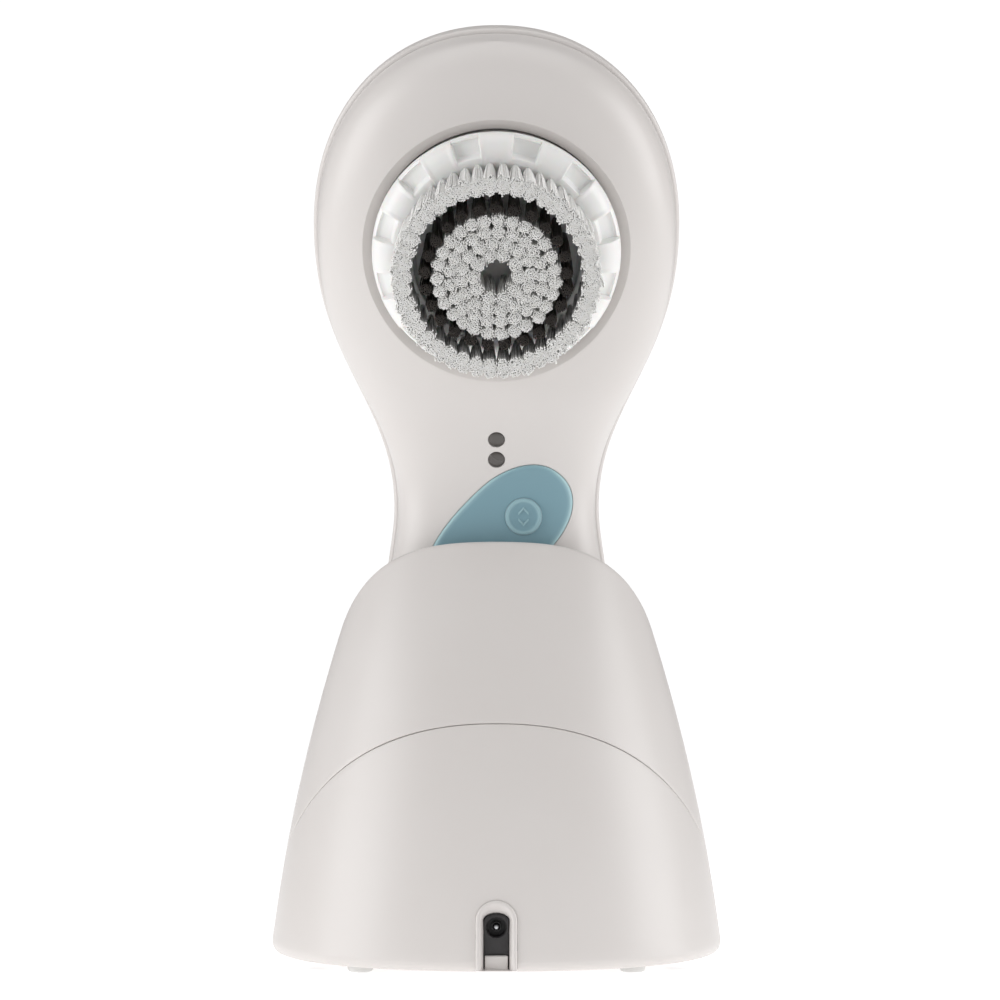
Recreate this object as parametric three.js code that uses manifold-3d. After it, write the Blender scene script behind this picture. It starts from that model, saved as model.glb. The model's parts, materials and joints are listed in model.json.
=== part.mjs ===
// A facial cleansing brush standing in its charging dock.
//
// Millimetres, +Z up, -Y towards the person facing it, +X to their right. The origin is the middle of
// the dock's footprint, on the surface it stands on.
//
// The dock is a tapered oval shell with a scooped mouth. The handle's grip stands upright in a well in
// the dock, and its head leans forward over the dock. Everything in the handle is placed by three
// numbers: s, the distance along the handle's centre line from the bottom of the grip; x; and h, the
// height in front of the centre line (behind it where h is negative).

import * as THREE from 'three';
import { mergeVertices } from 'three/addons/utils/BufferGeometryUtils.js';
import Module from 'manifold-3d';

const wasm = await Module();
wasm.setup();

// ---------------------------------------------------------------- driving dimensions

const GAP = 0.3;                       // between pieces that touch on the real object
const RADIANS = Math.PI / 180;

// handle centre line: upright, one bend forward, straight through the head
const GRIP_FOOT = { y: 10.5, z: 12 };
const STRAIGHT = 84;
const BEND_RADIUS = 95.8;
const HEAD_LEAN = 18.5 * RADIANS;
const BEND_END = STRAIGHT + BEND_RADIUS * HEAD_LEAN;
const HEAD_S = 135.6;                  // where the brush axis crosses the centre line
const HANDLE_LENGTH = 176.3;

// handle outline (half widths) and depths in front of and behind the centre line
const GRIP_S = 58;                     // the widest place of the grip
const GRIP_HALF_WIDTH = 22.6;
const NECK_S = 78;
const NECK_HALF_WIDTH = 20.7;
const HEAD_HALF_WIDTH = 36.5;
const GRIP_END_POWER = 2.6;
const HEAD_END_POWER = 2.15;
const FRONT = {
  sign: 1, grip: 12, head: 17.5, from: 80, to: 106, gripPower: 2.7, headPower: 2.9, inset: 0.8,
};
const REAR = {
  sign: -1, grip: 14, head: 18, from: 80, to: 112, gripPower: 2.3, headPower: 2.3, inset: 0,
};
const COVER_WALL = 2.2;
const COVER_FLANK = 1.0;               // straight edge of each cover next to the parting plane
const PARTING = 0.45;                  // half the gap between the covers, which holds the seal

// brush, all heights along the brush axis from the handle's centre line
const COLLAR_RADIUS = 24.5;
const COLLAR_TOP = 21;
const COLLAR_FOOT = 9;
const RIM_FOOT = 16.6;                 // below here the collar draws in to its narrower skirt
const SKIRT_TOP = 14.6;
const RIM_TOP = 17;                    // a round shoulder runs up and in from here to the flat top
const SKIRT_RADIUS = 23.6;
const SKIRT_BORE = 22.2;
const FLANGE_FOOT = 18;
const FLANGE_BORE = 16.4;
const NOTCH_BACK = 16.4;               // the flange's underside, where it is thicker behind the notches
const DISC_RADIUS = 15.8;
const DISC_TOP = 19.5;
const TIP_HEIGHT = 34;
const SOCKET_BORE = 24.2;
const OPENING_RADIUS = 26.6;
const SOCKET_FLOOR = 7.7;
const HUB_FOOT = 8;
const HUB_TOP = 14;
const SHAFT_RADIUS = 3;

// controls on the front of the handle
const LED_PLACES = [['upper', 93.3], ['lower', 88.5]];
const LENS_RADIUS = 1.6;
const PAD = {
  s: 72.3, x: -0.1, halfLength: 18, halfWidth: 9.15, turn: -46.5 * RADIANS, power: 2.3, swell: 0.13,
};
const PAD_DEPTH = 1.1;
const LEVEL_BUTTON = { name: 'level', s: 76.5, x: 5.4, radius: 3.7, proud: 0.9 };
const POWER_BUTTON = { name: 'power', s: 65.2, x: -7, radius: 3.7, proud: 0 };
const BUTTON_TRAVEL = 0.6;
const BOARD_FRONT = 6.4;
const BOARD_BACK = 5;

// dock
const DOCK_HALF_DEPTH = 40;
const DOCK_POWER = 2.2;
const DOCK_WALL = 2.4;
const SHELL_FOOT = 2;                  // the shell's bottom edge; the feet reach down to 0
const WELL_CLEARANCE = 0.7;
const LINER_WALL = 1.6;
const FOOT_ROUND = 2.2;                // height of the shell's rounded bottom edge
const JACK = { z: 10.4, halfWidth: 4.05, foot: 2.6, top: 15.7, front: -39.6, back: -34.5, bore: 1.84 };
const JACK_MOUTH = { halfWidth: 2.5, foot: 5, top: 13.1, rise: 1.35 };
const BEZEL_RISE = 0.25;               // how far the bezel stands out of the shell around it
const FOOT_PLACE = { x: 26.6, y: 22 };
const FOOT_RADIUS = 2.6;
const BOSS_TOP = 8.6;
const SCREW_HEAD = 2.4;
const SCREW_SEAT = 3;                  // the screws' heads are sunk into the bottom plate

// ---------------------------------------------------------------- colours

function finish(color, roughness, metalness = 0) {
  return new THREE.MeshStandardMaterial({ color, roughness, metalness });
}

const SHELL_WHITE = finish(0xe3dfdd, 0.35);
const LEDGE_WHITE = finish(0xeceae8, 0.3);
const PAD_BLUE = finish(0x7299a6, 0.6);
const LENS_GREY = finish(0x504e4b, 0.25);
const BRISTLE_WHITE = finish(0xebe8e4, 0.7);
const BRISTLE_DARK = finish(0x232321, 0.6);
const BLACK_PLASTIC = finish(0x1d1e20, 0.4);
const GREY_PLASTIC = finish(0x8d9194, 0.5);
const SOFT_GREY = finish(0x6a6d70, 0.8);
const STEEL = finish(0xb4b7bb, 0.35, 1);
const MAGNET_PLATE = finish(0x8e9399, 0.3, 1);
const COPPER = finish(0xb06a3a, 0.4, 1);
const BRASS = finish(0xc2a25a, 0.35, 1);
const FERRITE = finish(0x3a3b3d, 0.6);
const BOARD_GREEN = finish(0x2d6a4c, 0.5);
const CELL_SLEEVE = finish(0x3f6b9a, 0.4);

// ---------------------------------------------------------------- closed shapes

function vertexKeys(geometry) {
  geometry.deleteAttribute('normal');
  geometry.deleteAttribute('uv');
  return mergeVertices(geometry, 1e-4);
}

function solid(geometry) {
  const merged = vertexKeys(geometry.clone());
  return new wasm.Manifold(new wasm.Mesh({
    numProp: 3,
    vertProperties: new Float32Array(merged.attributes.position.array),
    triVerts: new Uint32Array(merged.index.array),
  }));
}

function shape(manifold) {
  const mesh = manifold.getMesh();
  const geometry = new THREE.BufferGeometry();
  geometry.setAttribute('position', new THREE.BufferAttribute(new Float32Array(mesh.vertProperties), 3));
  geometry.setIndex(new THREE.BufferAttribute(new Uint32Array(mesh.triVerts), 1));
  geometry.computeVertexNormals();
  return geometry;
}

// A skin over a stack of loops of points, closed at both ends by a fan around the end's middle.
function loft(loops) {
  const count = loops[0].length;
  const points = loops.flat();
  const middle = (loop) => loop.reduce((sum, p) => sum.add(p), new THREE.Vector3()).divideScalar(count);
  const first = points.length;
  points.push(middle(loops[0]), middle(loops[loops.length - 1]));
  const triangles = [];
  const lastRow = (loops.length - 1) * count;
  for (let j = 0; j < count; j += 1) {
    const k = (j + 1) % count;
    for (let row = 0; row < lastRow; row += count) {
      triangles.push(row + j, row + k, row + count + k, row + j, row + count + k, row + count + j);
    }
    triangles.push(first, k, j, first + 1, lastRow + j, lastRow + k);
  }
  const geometry = new THREE.BufferGeometry().setFromPoints(points);
  geometry.setIndex(triangles);
  const volume = signedVolume(points, triangles);
  if (volume < 0) {
    geometry.setIndex(triangles.reverse());
  }
  return solid(geometry);
}

function signedVolume(points, triangles) {
  let sum = 0;
  for (let i = 0; i < triangles.length; i += 3) {
    const [a, b, c] = [0, 1, 2].map((k) => points[triangles[i + k]]);
    sum += a.dot(b.clone().cross(c));
  }
  return sum / 6;
}

// A straight-sided solid over an outline in X and Y, from one height to another.
function prism(outline, from, to, holes = []) {
  const flat = new THREE.Shape(THREE.ShapeUtils.isClockWise(outline) ? [...outline].reverse() : outline);
  flat.holes = holes.map((hole) => new THREE.Path(hole));
  const geometry = new THREE.ExtrudeGeometry(flat, { depth: to - from, bevelEnabled: false });
  return solid(geometry.translate(0, 0, from));
}

// A turned solid about +Z. The profile is a list of [radius, height].
function turned(profile, segments = 24) {
  const points = profile.map(([r, z]) => new THREE.Vector2(r, z));
  if (profile[0][0] > 0) {
    points.push(points[0].clone());
  }
  const geometry = new THREE.LatheGeometry(points, segments).rotateX(Math.PI / 2);
  const body = solid(geometry);
  return body.volume() > 0 ? body : solid(flipped(geometry));
}

function flipped(geometry) {
  geometry.setIndex(Array.from(geometry.index.array).reverse());
  return geometry;
}

const ring = (inner, outer, from, to, segments = 24) => turned(
  [[inner, from], [outer, from], [outer, to], [inner, to]],
  segments,
);
const rod = (radius, from, to, segments = 16) => turned(
  [[0, from], [radius, from], [radius, to], [0, to]],
  segments,
);
const block = (x, y, z, at) => solid(new THREE.BoxGeometry(x, y, z).translate(...at));
const spanned = ([x0, x1], [y0, y1], [z0, z1]) => block(
  x1 - x0,
  y1 - y0,
  z1 - z0,
  [(x0 + x1) / 2, (y0 + y1) / 2, (z0 + z1) / 2],
);
const circle = (radius, count, x = 0, y = 0) => Array.from({ length: count }, (_, i) => {
  const angle = (2 * Math.PI * i) / count;
  return new THREE.Vector2(x + radius * Math.cos(angle), y + radius * Math.sin(angle));
});

function moved(manifold, frame) {
  const geometry = shape(manifold).applyMatrix4(frame);
  return solid(geometry);
}

// ---------------------------------------------------------------- the handle's form

const smooth = (from, to, value) => THREE.MathUtils.smoothstep(value, from, to);
const power = (value, exponent) => Math.sign(value) * Math.abs(value) ** exponent;
const roundEnd = (q, exponent) => Math.max(0, 1 - Math.abs(q) ** exponent) ** (1 / exponent);

function centreLine(s) {
  const { y, z } = GRIP_FOOT;
  if (s <= STRAIGHT) {
    return { y, z: z + s, lean: 0 };
  }
  const lean = Math.min((s - STRAIGHT) / BEND_RADIUS, HEAD_LEAN);
  const beyond = Math.max(s - BEND_END, 0);
  return {
    y: y - BEND_RADIUS * (1 - Math.cos(lean)) - beyond * Math.sin(lean),
    z: z + STRAIGHT + BEND_RADIUS * Math.sin(lean) + beyond * Math.cos(lean),
    lean,
  };
}

function place(s, x, h) {
  const { y, z, lean } = centreLine(s);
  return new THREE.Vector3(x, y - h * Math.cos(lean), z - h * Math.sin(lean));
}

// A smooth step between two widths whose curve leaves and arrives along the handle.
function flare(s, [s0, w0, reach0], [s1, w1, reach1]) {
  const curve = new THREE.CubicBezierCurve(
    new THREE.Vector2(s0, w0),
    new THREE.Vector2(s0 + reach0, w0),
    new THREE.Vector2(s1 - reach1, w1),
    new THREE.Vector2(s1, w1),
  );
  let [low, high] = [0, 1];
  for (let i = 0; i < 30; i += 1) {
    const middle = (low + high) / 2;
    if (curve.getPoint(middle).x < s) {
      low = middle;
    } else {
      high = middle;
    }
  }
  return curve.getPoint(low).y;
}

// Half the handle's width at s, for an outline drawn in by inset all round.
function halfWidth(s, inset = 0) {
  if (s < GRIP_S) {
    return (GRIP_HALF_WIDTH - inset) * roundEnd((GRIP_S - s) / (GRIP_S - inset), GRIP_END_POWER);
  }
  if (s < NECK_S) {
    return flare(s, [GRIP_S, GRIP_HALF_WIDTH, 8], [NECK_S, NECK_HALF_WIDTH, 6]) - inset;
  }
  if (s < HEAD_S) {
    return flare(s, [NECK_S, NECK_HALF_WIDTH, 21.5], [HEAD_S, HEAD_HALF_WIDTH, 29]) - inset;
  }
  const reach = HANDLE_LENGTH - HEAD_S - inset;
  return (HEAD_HALF_WIDTH - inset) * roundEnd((s - HEAD_S) / reach, HEAD_END_POWER);
}

// Depth of one side of the handle at s, for a surface drawn in by inset.
function depth(side, s, inset = 0) {
  const plain = side.grip + (side.head - side.grip) * smooth(side.from, side.to, s) - inset;
  if (s < GRIP_S) {
    return plain * roundEnd((GRIP_S - s) / (GRIP_S - inset), 4);
  }
  if (s > HEAD_S) {
    return plain * roundEnd((s - HEAD_S) / (HANDLE_LENGTH - HEAD_S - inset), 2.6);
  }
  return plain;
}

function fullness(side, s) {
  return side.gripPower + (side.headPower - side.gripPower) * smooth(side.from, side.to, s);
}

// Height of one side's surface over the parting plane at a place between its edges.
function surfaceHeight(side, s, x) {
  const across = roundEnd(x / halfWidth(s, side.inset), fullness(side, s));
  return COVER_FLANK + (depth(side, s) - COVER_FLANK) * across;
}

// Points across one side of the handle at s, from +x to -x.
function arch(side, s, inset, edgeInset, count) {
  const width = halfWidth(s, inset + edgeInset);
  const tall = depth(side, s, inset);
  const exponent = 2 / fullness(side, s);
  return Array.from({ length: count + 1 }, (_, j) => {
    const angle = (Math.PI * j) / count;
    const flank = Math.min(COVER_FLANK, tall / 2);
    return {
      x: width * power(Math.cos(angle), exponent),
      h: side.sign * (flank + (tall - flank) * power(Math.sin(angle), exponent)),
    };
  });
}

// Places of the cross-sections along the handle, closer together at its round ends.
function stations(inset, ends = 6) {
  const places = [];
  for (let i = 0; i < ends; i += 1) {
    const angle = ((i + 0.35) / ends) * (Math.PI / 2);
    places.push(GRIP_S - (GRIP_S - inset) * Math.cos(angle) ** (2 / GRIP_END_POWER));
  }
  for (let s = GRIP_S; s < HEAD_S - 1; s += (HEAD_S - GRIP_S) / 8) {
    places.push(s);
  }
  const reach = HANDLE_LENGTH - HEAD_S - inset;
  for (let i = 0; i < ends; i += 1) {
    const angle = (i / (ends - 0.4)) * (Math.PI / 2);
    places.push(HEAD_S + reach * Math.sin(angle) ** (2 / HEAD_END_POWER));
  }
  return places;
}

// The solid between the parting plane (or any other flat height) and one side's surface.
function handleHalf(side, inset, floor, count = 12) {
  const loops = stations(inset + side.inset).map((s) => {
    const points = arch(side, s, inset, side.inset, count);
    const edge = points[0].x;
    points.push({ x: -edge, h: floor }, { x: edge, h: floor });
    return points.map(({ x, h }) => place(s, x, h));
  });
  return loft(loops);
}

const headFrame = (() => {
  const { y, z } = centreLine(HEAD_S);
  return new THREE.Matrix4().makeRotationX(Math.PI / 2 + HEAD_LEAN).setPosition(0, y, z);
})();
const gripFrame = new THREE.Matrix4().makeRotationX(Math.PI / 2).setPosition(0, GRIP_FOOT.y, GRIP_FOOT.z);

// The frame standing on the front surface of the handle at x = 0, its Z straight out of the surface.
function surfaceFrame(s) {
  const step = 0.5;
  const [below, here, above] = [s - step, s, s + step].map((at) => place(at, 0, depth(FRONT, at)));
  const lean = Math.atan2(below.y - above.y, above.z - below.z);
  return new THREE.Matrix4().makeRotationX(Math.PI / 2 + lean).setPosition(here);
}

// ---------------------------------------------------------------- the scene graph

const brushInDock = new THREE.Group();
brushInDock.name = 'facial_cleansing_brush';

function groupAt(frame) {
  const group = new THREE.Group();
  frame.decompose(group.position, group.quaternion, group.scale);
  brushInDock.add(group);
  return group;
}

const head = groupAt(headFrame);
const grip = groupAt(gripFrame);

function add(name, manifold, material, parent = brushInDock) {
  const mesh = new THREE.Mesh(shape(manifold), material);
  mesh.name = name;
  parent.add(mesh);
  return mesh;
}

// ---------------------------------------------------------------- dock

// Half width and front and back of the dock's outer surface at a height.
const dockHalfWidth = (z) => 45.3 - 0.115 * z - 0.0015 * z * z;
const dockFront = (z) => -DOCK_HALF_DEPTH + 0.15 * Math.max(z - 4, 0) + 0.00328 * Math.max(z - 4, 0) ** 2;
const dockBack = (z) => DOCK_HALF_DEPTH - 0.05 * Math.max(z - 4, 0) - 0.00094 * Math.max(z - 4, 0) ** 2;

// A section of the dock's outer form at a height, drawn in by inset all round.
function dockLoop(z, inset, count = 36) {
  const [front, back] = [dockFront(z) + inset, dockBack(z) - inset];
  return Array.from({ length: count }, (_, i) => {
    const angle = (2 * Math.PI * i) / count;
    return new THREE.Vector3(
      (dockHalfWidth(z) - inset) * power(Math.cos(angle), 2 / DOCK_POWER),
      (front + back) / 2 + ((back - front) / 2) * power(Math.sin(angle), 2 / DOCK_POWER),
      z,
    );
  });
}

// The dock's outer form between two heights, drawn in by inset; insetAt adds more at some heights.
function dockSolid(inset, foot, insetAt = () => 0) {
  const [start, top, rows] = [foot[foot.length - 1], 90, 5];
  const upper = Array.from({ length: rows }, (_, i) => start + ((top - start) * (i + 1)) / rows);
  return loft([...foot, ...upper].map((z) => dockLoop(z, inset + insetAt(z))));
}

// How far the side draws in over the shell's rounded bottom edge.
const footInset = (z) => 1.6 * (1 - roundEnd(Math.max(0, 1 - (z - SHELL_FOOT) / FOOT_ROUND), 2));

// The space below a surface that runs straight along X over a curve of [y, z] control points.
function below(curvePoints, drop = 0) {
  const [a, b, c, d] = curvePoints.map(([y, z]) => new THREE.Vector2(y, z - drop));
  const line = new THREE.CubicBezierCurve(a, b, c, d).getPoints(8);
  const outline = [
    new THREE.Vector2(60, -5),
    new THREE.Vector2(60, d.y),
    ...line.reverse(),
    new THREE.Vector2(-60, a.y + (a.x + 60) * ((b.y - a.y) / (a.x - b.x))),
    new THREE.Vector2(-60, -5),
  ];
  const profile = prism(outline, -60, 60);
  return moved(profile, new THREE.Matrix4().makeBasis(
    new THREE.Vector3(0, 1, 0),
    new THREE.Vector3(0, 0, 1),
    new THREE.Vector3(1, 0, 0),
  ));
}

const RIM_CURVE = [[-9.5, 84.6], [0.5, 85.2], [4, 57], [32, 50]];
const PARTING_CURVE = [[-27.5, 49.8], [-12, 31], [0, 9], [40, 9]];

// The section of the grip's outer surface, grown outwards, at a height in the well.
function gripLoop(z, grow, count = 12) {
  const s = Math.min(z - GRIP_FOOT.z, GRIP_S);
  const [front, rear] = [FRONT, REAR].map((side) => arch(side, s, -grow, 0, count));
  const around = [...front, ...rear.reverse().slice(1, -1)];
  return around.map(({ x, h }) => new THREE.Vector3(x, GRIP_FOOT.y - h, z));
}

function wellSolid(grow, top) {
  const places = stations(-grow).filter((s) => s < GRIP_S - 1);
  const heights = [...places.map((s) => GRIP_FOOT.z + s), GRIP_FOOT.z + GRIP_S, top];
  return loft(heights.map((z) => gripLoop(z, grow)));
}

const linerOuter = wellSolid(WELL_CLEARANCE + LINER_WALL, 95);
const linerInner = wellSolid(WELL_CLEARANCE, 96);
const belowRim = below(RIM_CURVE);

// Centres of the four screw bosses, just inside the base shell's wall.
const CORNERS = [[1, 1], [-1, 1], [-1, -1], [1, -1]];
const bossPlace = ([sx, sy]) => ({ x: sx * 35.6, y: sy * 17.5 });

// An upright outline with a flat foot and an arched top, in X and Z.
function archOutline(half, foot, top, rise = half, count = 10) {
  const outline = [new THREE.Vector2(half, foot)];
  for (let i = 0; i <= count; i += 1) {
    const angle = (Math.PI * i) / count;
    outline.push(new THREE.Vector2(half * Math.cos(angle), top - rise + rise * Math.sin(angle)));
  }
  outline.push(new THREE.Vector2(-half, foot));
  return outline;
}

// A prism along Y over an outline drawn in X and Z.
function frontPrism(outline, from, to, holes = []) {
  const upright = new THREE.Matrix4().makeRotationX(Math.PI / 2);
  return moved(prism(outline, -to, -from, holes), upright);
}

function buildDock() {
  const foot = [0, 0.16, 0.45, 1].map((share) => SHELL_FOOT + FOOT_ROUND * share);
  const outer = dockSolid(0, foot, footInset);
  const inner = dockSolid(DOCK_WALL, [0, SHELL_FOOT + 1]);
  const shell = outer.subtract(inner);
  const deck = outer.intersect(belowRim.subtract(below(RIM_CURVE, DOCK_WALL)));
  const mouth = wellSolid(WELL_CLEARANCE + LINER_WALL + GAP, 97);

  const upper = shell.add(deck).intersect(belowRim).subtract(below(PARTING_CURVE, -GAP / 2)).subtract(mouth);
  add('dock_upper_shell', upper, SHELL_WHITE);

  let base = shell.intersect(below(PARTING_CURVE, GAP / 2));
  for (const corner of CORNERS) {
    const { x, y } = bossPlace(corner);
    const boss = rod(3.4, SHELL_FOOT + 2 + GAP, BOSS_TOP).translate([x, y, 0]);
    base = base.add(boss.intersect(outer)).subtract(rod(1.6, 3, BOSS_TOP - 0.8, 12).translate([x, y, 0]));
  }
  const jackOutline = archOutline(JACK.halfWidth + GAP, 0, JACK.top + GAP);
  const jackHole = frontPrism(jackOutline, JACK.front - 5, JACK.back);
  add('dock_base_shell', base.subtract(jackHole), SHELL_WHITE);

  buildDockBottom(jackHole);
  add('well_liner', linerOuter.intersect(belowRim).subtract(linerInner), SHELL_WHITE);
  const coilSpace = gripLoop(27, WELL_CLEARANCE + LINER_WALL + 3.2);
  const coilBore = gripLoop(27, WELL_CLEARANCE + LINER_WALL + 0.5).map(({ x, y }) => new THREE.Vector2(x, y));
  add('charge_coil', prism(coilSpace.map(({ x, y }) => new THREE.Vector2(x, y)), 17, 26, [coilBore]), COPPER);
  add('dock_circuit_board', spanned([-14, 14], [-30, -16], [5, 6.6]), BOARD_GREEN);
  buildJack();
}

function buildDockBottom(jackHole) {
  const outline = dockLoop(4, DOCK_WALL + GAP).map(({ x, y }) => new THREE.Vector2(x, y));
  const holes = CORNERS.map((corner) => {
    const { x, y } = bossPlace(corner);
    return circle(1.6, 12, x, y);
  });
  let plate = prism(outline, SHELL_FOOT, SHELL_FOOT + 2, holes);
  for (const corner of CORNERS) {
    const { x, y } = bossPlace(corner);
    plate = plate.subtract(rod(SCREW_HEAD + GAP, 0, SCREW_SEAT + GAP, 16).translate([x, y, 0]));
  }
  add('dock_bottom_plate', plate.subtract(jackHole), SHELL_WHITE);
  CORNERS.forEach(([sx, sy], i) => {
    const foot = turned([
      [0, 0],
      [FOOT_RADIUS - 0.4, 0],
      [FOOT_RADIUS, 0.5],
      [FOOT_RADIUS, SHELL_FOOT - GAP],
      [0, SHELL_FOOT - GAP],
    ], 16);
    add(`dock_foot_${i + 1}`, foot, SOFT_GREY).position.set(sx * FOOT_PLACE.x, sy * FOOT_PLACE.y, 0);
    const { x, y } = bossPlace([sx, sy]);
    const screw = [
      [0, 2.1],
      [SCREW_HEAD - 0.3, 2.1],
      [SCREW_HEAD, 2.4],
      [SCREW_HEAD, SCREW_SEAT],
      [1.3, SCREW_SEAT],
      [1.3, 7.3],
      [0, 7.3],
    ];
    add(`dock_screw_${i + 1}`, turned(screw, 12), STEEL).position.set(x, y, 0);
  });
}

function buildJack() {
  const { z, halfWidth, foot, top, front, back, bore } = JACK;
  const mouth = JACK_MOUTH;
  const opening = archOutline(mouth.halfWidth, mouth.foot, mouth.top, mouth.rise);
  const bezel = frontPrism(archOutline(halfWidth, foot, top), front - 2, back, [opening]);
  const proud = dockSolid(-BEZEL_RISE, [SHELL_FOOT - 1, SHELL_FOOT + 2]);
  add('jack_bezel', bezel.intersect(proud), SHELL_WHITE);
  const bodyOutline = archOutline(mouth.halfWidth - GAP, mouth.foot + GAP, mouth.top - GAP, mouth.rise);
  const body = frontPrism(bodyOutline, front + 1.6, back + 4);
  const hole = rod(bore, 0, 20).rotate([90, 0, 0]).translate([0, back - 0.2, z]);
  add('jack_housing', body.subtract(hole), BLACK_PLASTIC);
  add('jack_pin', rod(0.55, 0, 2.6, 12).rotate([90, 0, 0]).translate([0, back - 0.2 - GAP, z]), STEEL);
}

// ---------------------------------------------------------------- handle covers and controls

function padOutline(grow) {
  const { s, x, halfLength, halfWidth: half, turn, swell } = PAD;
  const count = 36;
  return Array.from({ length: count }, (_, i) => {
    const angle = (2 * Math.PI * i) / count;
    const along = (halfLength + grow) * power(Math.sin(angle), 2 / PAD.power);
    const wide = (half + grow) * (1 + swell * Math.sin(angle));
    const across = wide * power(Math.cos(angle), 2 / PAD.power);
    return new THREE.Vector2(
      x + across * Math.cos(turn) - along * Math.sin(turn),
      s + across * Math.sin(turn) + along * Math.cos(turn),
    );
  });
}

const gripPrism = (outline, from, to, holes = []) => moved(prism(outline, from, to, holes), gripFrame);
const gripRod = (radius, from, to, { s, x }, segments = 20) => moved(
  rod(radius, from, to, segments).translate([x, s, 0]),
  gripFrame,
);

function buildCovers() {
  const outer = handleHalf(FRONT, 0, PARTING);
  const surround = moved(ring(24, 28.2, 11.2, 17.2, 28), headFrame).intersect(outer);
  const boreProfile = [[0, 0], [24.1, 0], [24.1, 13.2], [OPENING_RADIUS, 16.4], [30, 20.8], [0, 20.8]];
  const bore = moved(turned(boreProfile, 28), headFrame);
  const pocket = gripPrism(padOutline(GAP), 5, 30).subtract(handleHalf(FRONT, PAD_DEPTH + GAP, -1));
  const shell = outer.subtract(handleHalf(FRONT, COVER_WALL, -1));
  let front = shell.add(surround).subtract(bore).subtract(pocket);
  for (const button of [LEVEL_BUTTON, POWER_BUTTON]) {
    front = front.subtract(gripRod(1.5, 0, 30, button));
  }
  for (const [, s] of LED_PLACES) {
    front = front.subtract(moved(rod(LENS_RADIUS + GAP, -6, 3), surfaceFrame(s)));
  }
  add('handle_front_cover', front, SHELL_WHITE);

  const rear = handleHalf(REAR, 0, -PARTING).subtract(handleHalf(REAR, COVER_WALL, 1));
  add('handle_rear_cover', rear, LEDGE_WHITE);
  buildSeal();
}

// A flat gasket that follows the parting line, a little inside the covers' edges.
function buildSeal() {
  const band = (inset, half) => loft(stations(inset).map((s) => {
    const width = halfWidth(s, inset);
    return [[width, -half], [width, half], [-width, half], [-width, -half]].map(([x, h]) => place(s, x, h));
  }));
  add('cover_seal', band(1.3, 0.15).subtract(band(2.2, 2)), SOFT_GREY);
}

function buildPad() {
  const holes = [LEVEL_BUTTON, POWER_BUTTON].map(({ s, x, radius }) => circle(radius + GAP, 20, x, s));
  const pad = gripPrism(padOutline(0), 5, 30, holes)
    .intersect(handleHalf(FRONT, -GAP, PARTING))
    .subtract(handleHalf(FRONT, PAD_DEPTH, -1));
  add('button_pad', pad, PAD_BLUE);
}

function buildButton(button) {
  const { name, s, x, radius, proud } = button;
  const surface = surfaceHeight(FRONT, s, x);
  const cap = turned([
    [0, -0.5],
    [radius, -0.5],
    [radius, proud - 0.4],
    [radius - 0.5, proud],
    [radius - 1.1, proud - 0.2],
    [0, proud - 0.15],
  ], 20);
  add(`${name}_button`, cap, PAD_BLUE, grip).position.set(x, s, surface);
  const plungerFoot = BOARD_FRONT + GAP + 1.4 + BUTTON_TRAVEL + 0.1;
  const plunger = rod(1.1, plungerFoot, surface - 0.5 - GAP, 16);
  add(`${name}_plunger`, plunger, PAD_BLUE, grip).position.set(x, s, 0);
  const body = block(4.5, 4.5, 1.4, [0, 0, BOARD_FRONT + GAP + 0.7]);
  add(`${name}_switch`, body, BLACK_PLASTIC, grip).position.set(x, s, 0);
}

function buildLights() {
  for (const [name, s] of LED_PLACES) {
    const dome = [[0, -3.6], [LENS_RADIUS, -3.6], [LENS_RADIUS, 0], [LENS_RADIUS * 0.6, 0.25], [0, 0.35]];
    const mesh = add(`led_lens_${name}`, turned(dome, 20), LENS_GREY);
    surfaceFrame(s).decompose(mesh.position, mesh.quaternion, mesh.scale);
    add(`led_${name}`, block(2, 1.6, 0.9, [0, s - 1, BOARD_FRONT + GAP + 0.45]), LEDGE_WHITE, grip);
  }
}

// ---------------------------------------------------------------- inside the grip

function buildGripInsides() {
  const boardScrews = [26, 50].map((s) => ({ s, x: 6.5 }));
  const screwHoles = boardScrews.map(({ s, x }) => circle(1.2, 16, x, s));
  const boardOutline = [[-12, 22], [12, 22], [13, 60], [9, 96], [-9, 96], [-13, 60]];
  const board = boardOutline.map(([x, s]) => new THREE.Vector2(x, s));
  add('handle_circuit_board', prism(board, BOARD_BACK, BOARD_FRONT, screwHoles), BOARD_GREEN, grip);
  boardScrews.forEach(({ s, x }, i) => {
    const screw = turned([[0, 3.7], [0.9, 3.7], [0.9, 6.7], [1.9, 6.7], [1.9, 7.6], [0, 7.6]], 16);
    add(`board_screw_${i + 1}`, screw, STEEL, grip).position.set(x, s, 0);
  });

  let chassis = spanned([-9.8, 9.8], [19, 82], [-8, 4.7]).subtract(spanned([-8, 8], [22.5, 83], [-9, 3.6]));
  for (const { s, x } of boardScrews) {
    chassis = chassis.subtract(rod(1.2, 0, 6, 16).translate([x, s, 0]));
  }
  add('chassis', chassis, GREY_PLASTIC, grip);
  const cell = turned([[0, 0], [7.2, 0], [7.2, 48.5], [2.6, 48.5], [2.6, 49.5], [0, 49.5]], 28);
  const cellMesh = add('battery_cell', cell, CELL_SLEEVE, grip);
  cellMesh.rotation.x = -Math.PI / 2;
  cellMesh.position.set(0, 24, -4);

  const coil = add('receive_coil', ring(3.6, 6.2, 0, 8, 28), COPPER, grip);
  const core = add('receive_core', rod(3.2, -1, 9.5, 24), FERRITE, grip);
  for (const mesh of [coil, core]) {
    mesh.rotation.x = -Math.PI / 2;
    mesh.position.set(0, 8, -0.5);
  }
}

// ---------------------------------------------------------------- drive in the head

const FRAME_SCREWS = [['left', -16], ['right', 16]];
const FRAME_SCREW_Y = 12;

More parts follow.
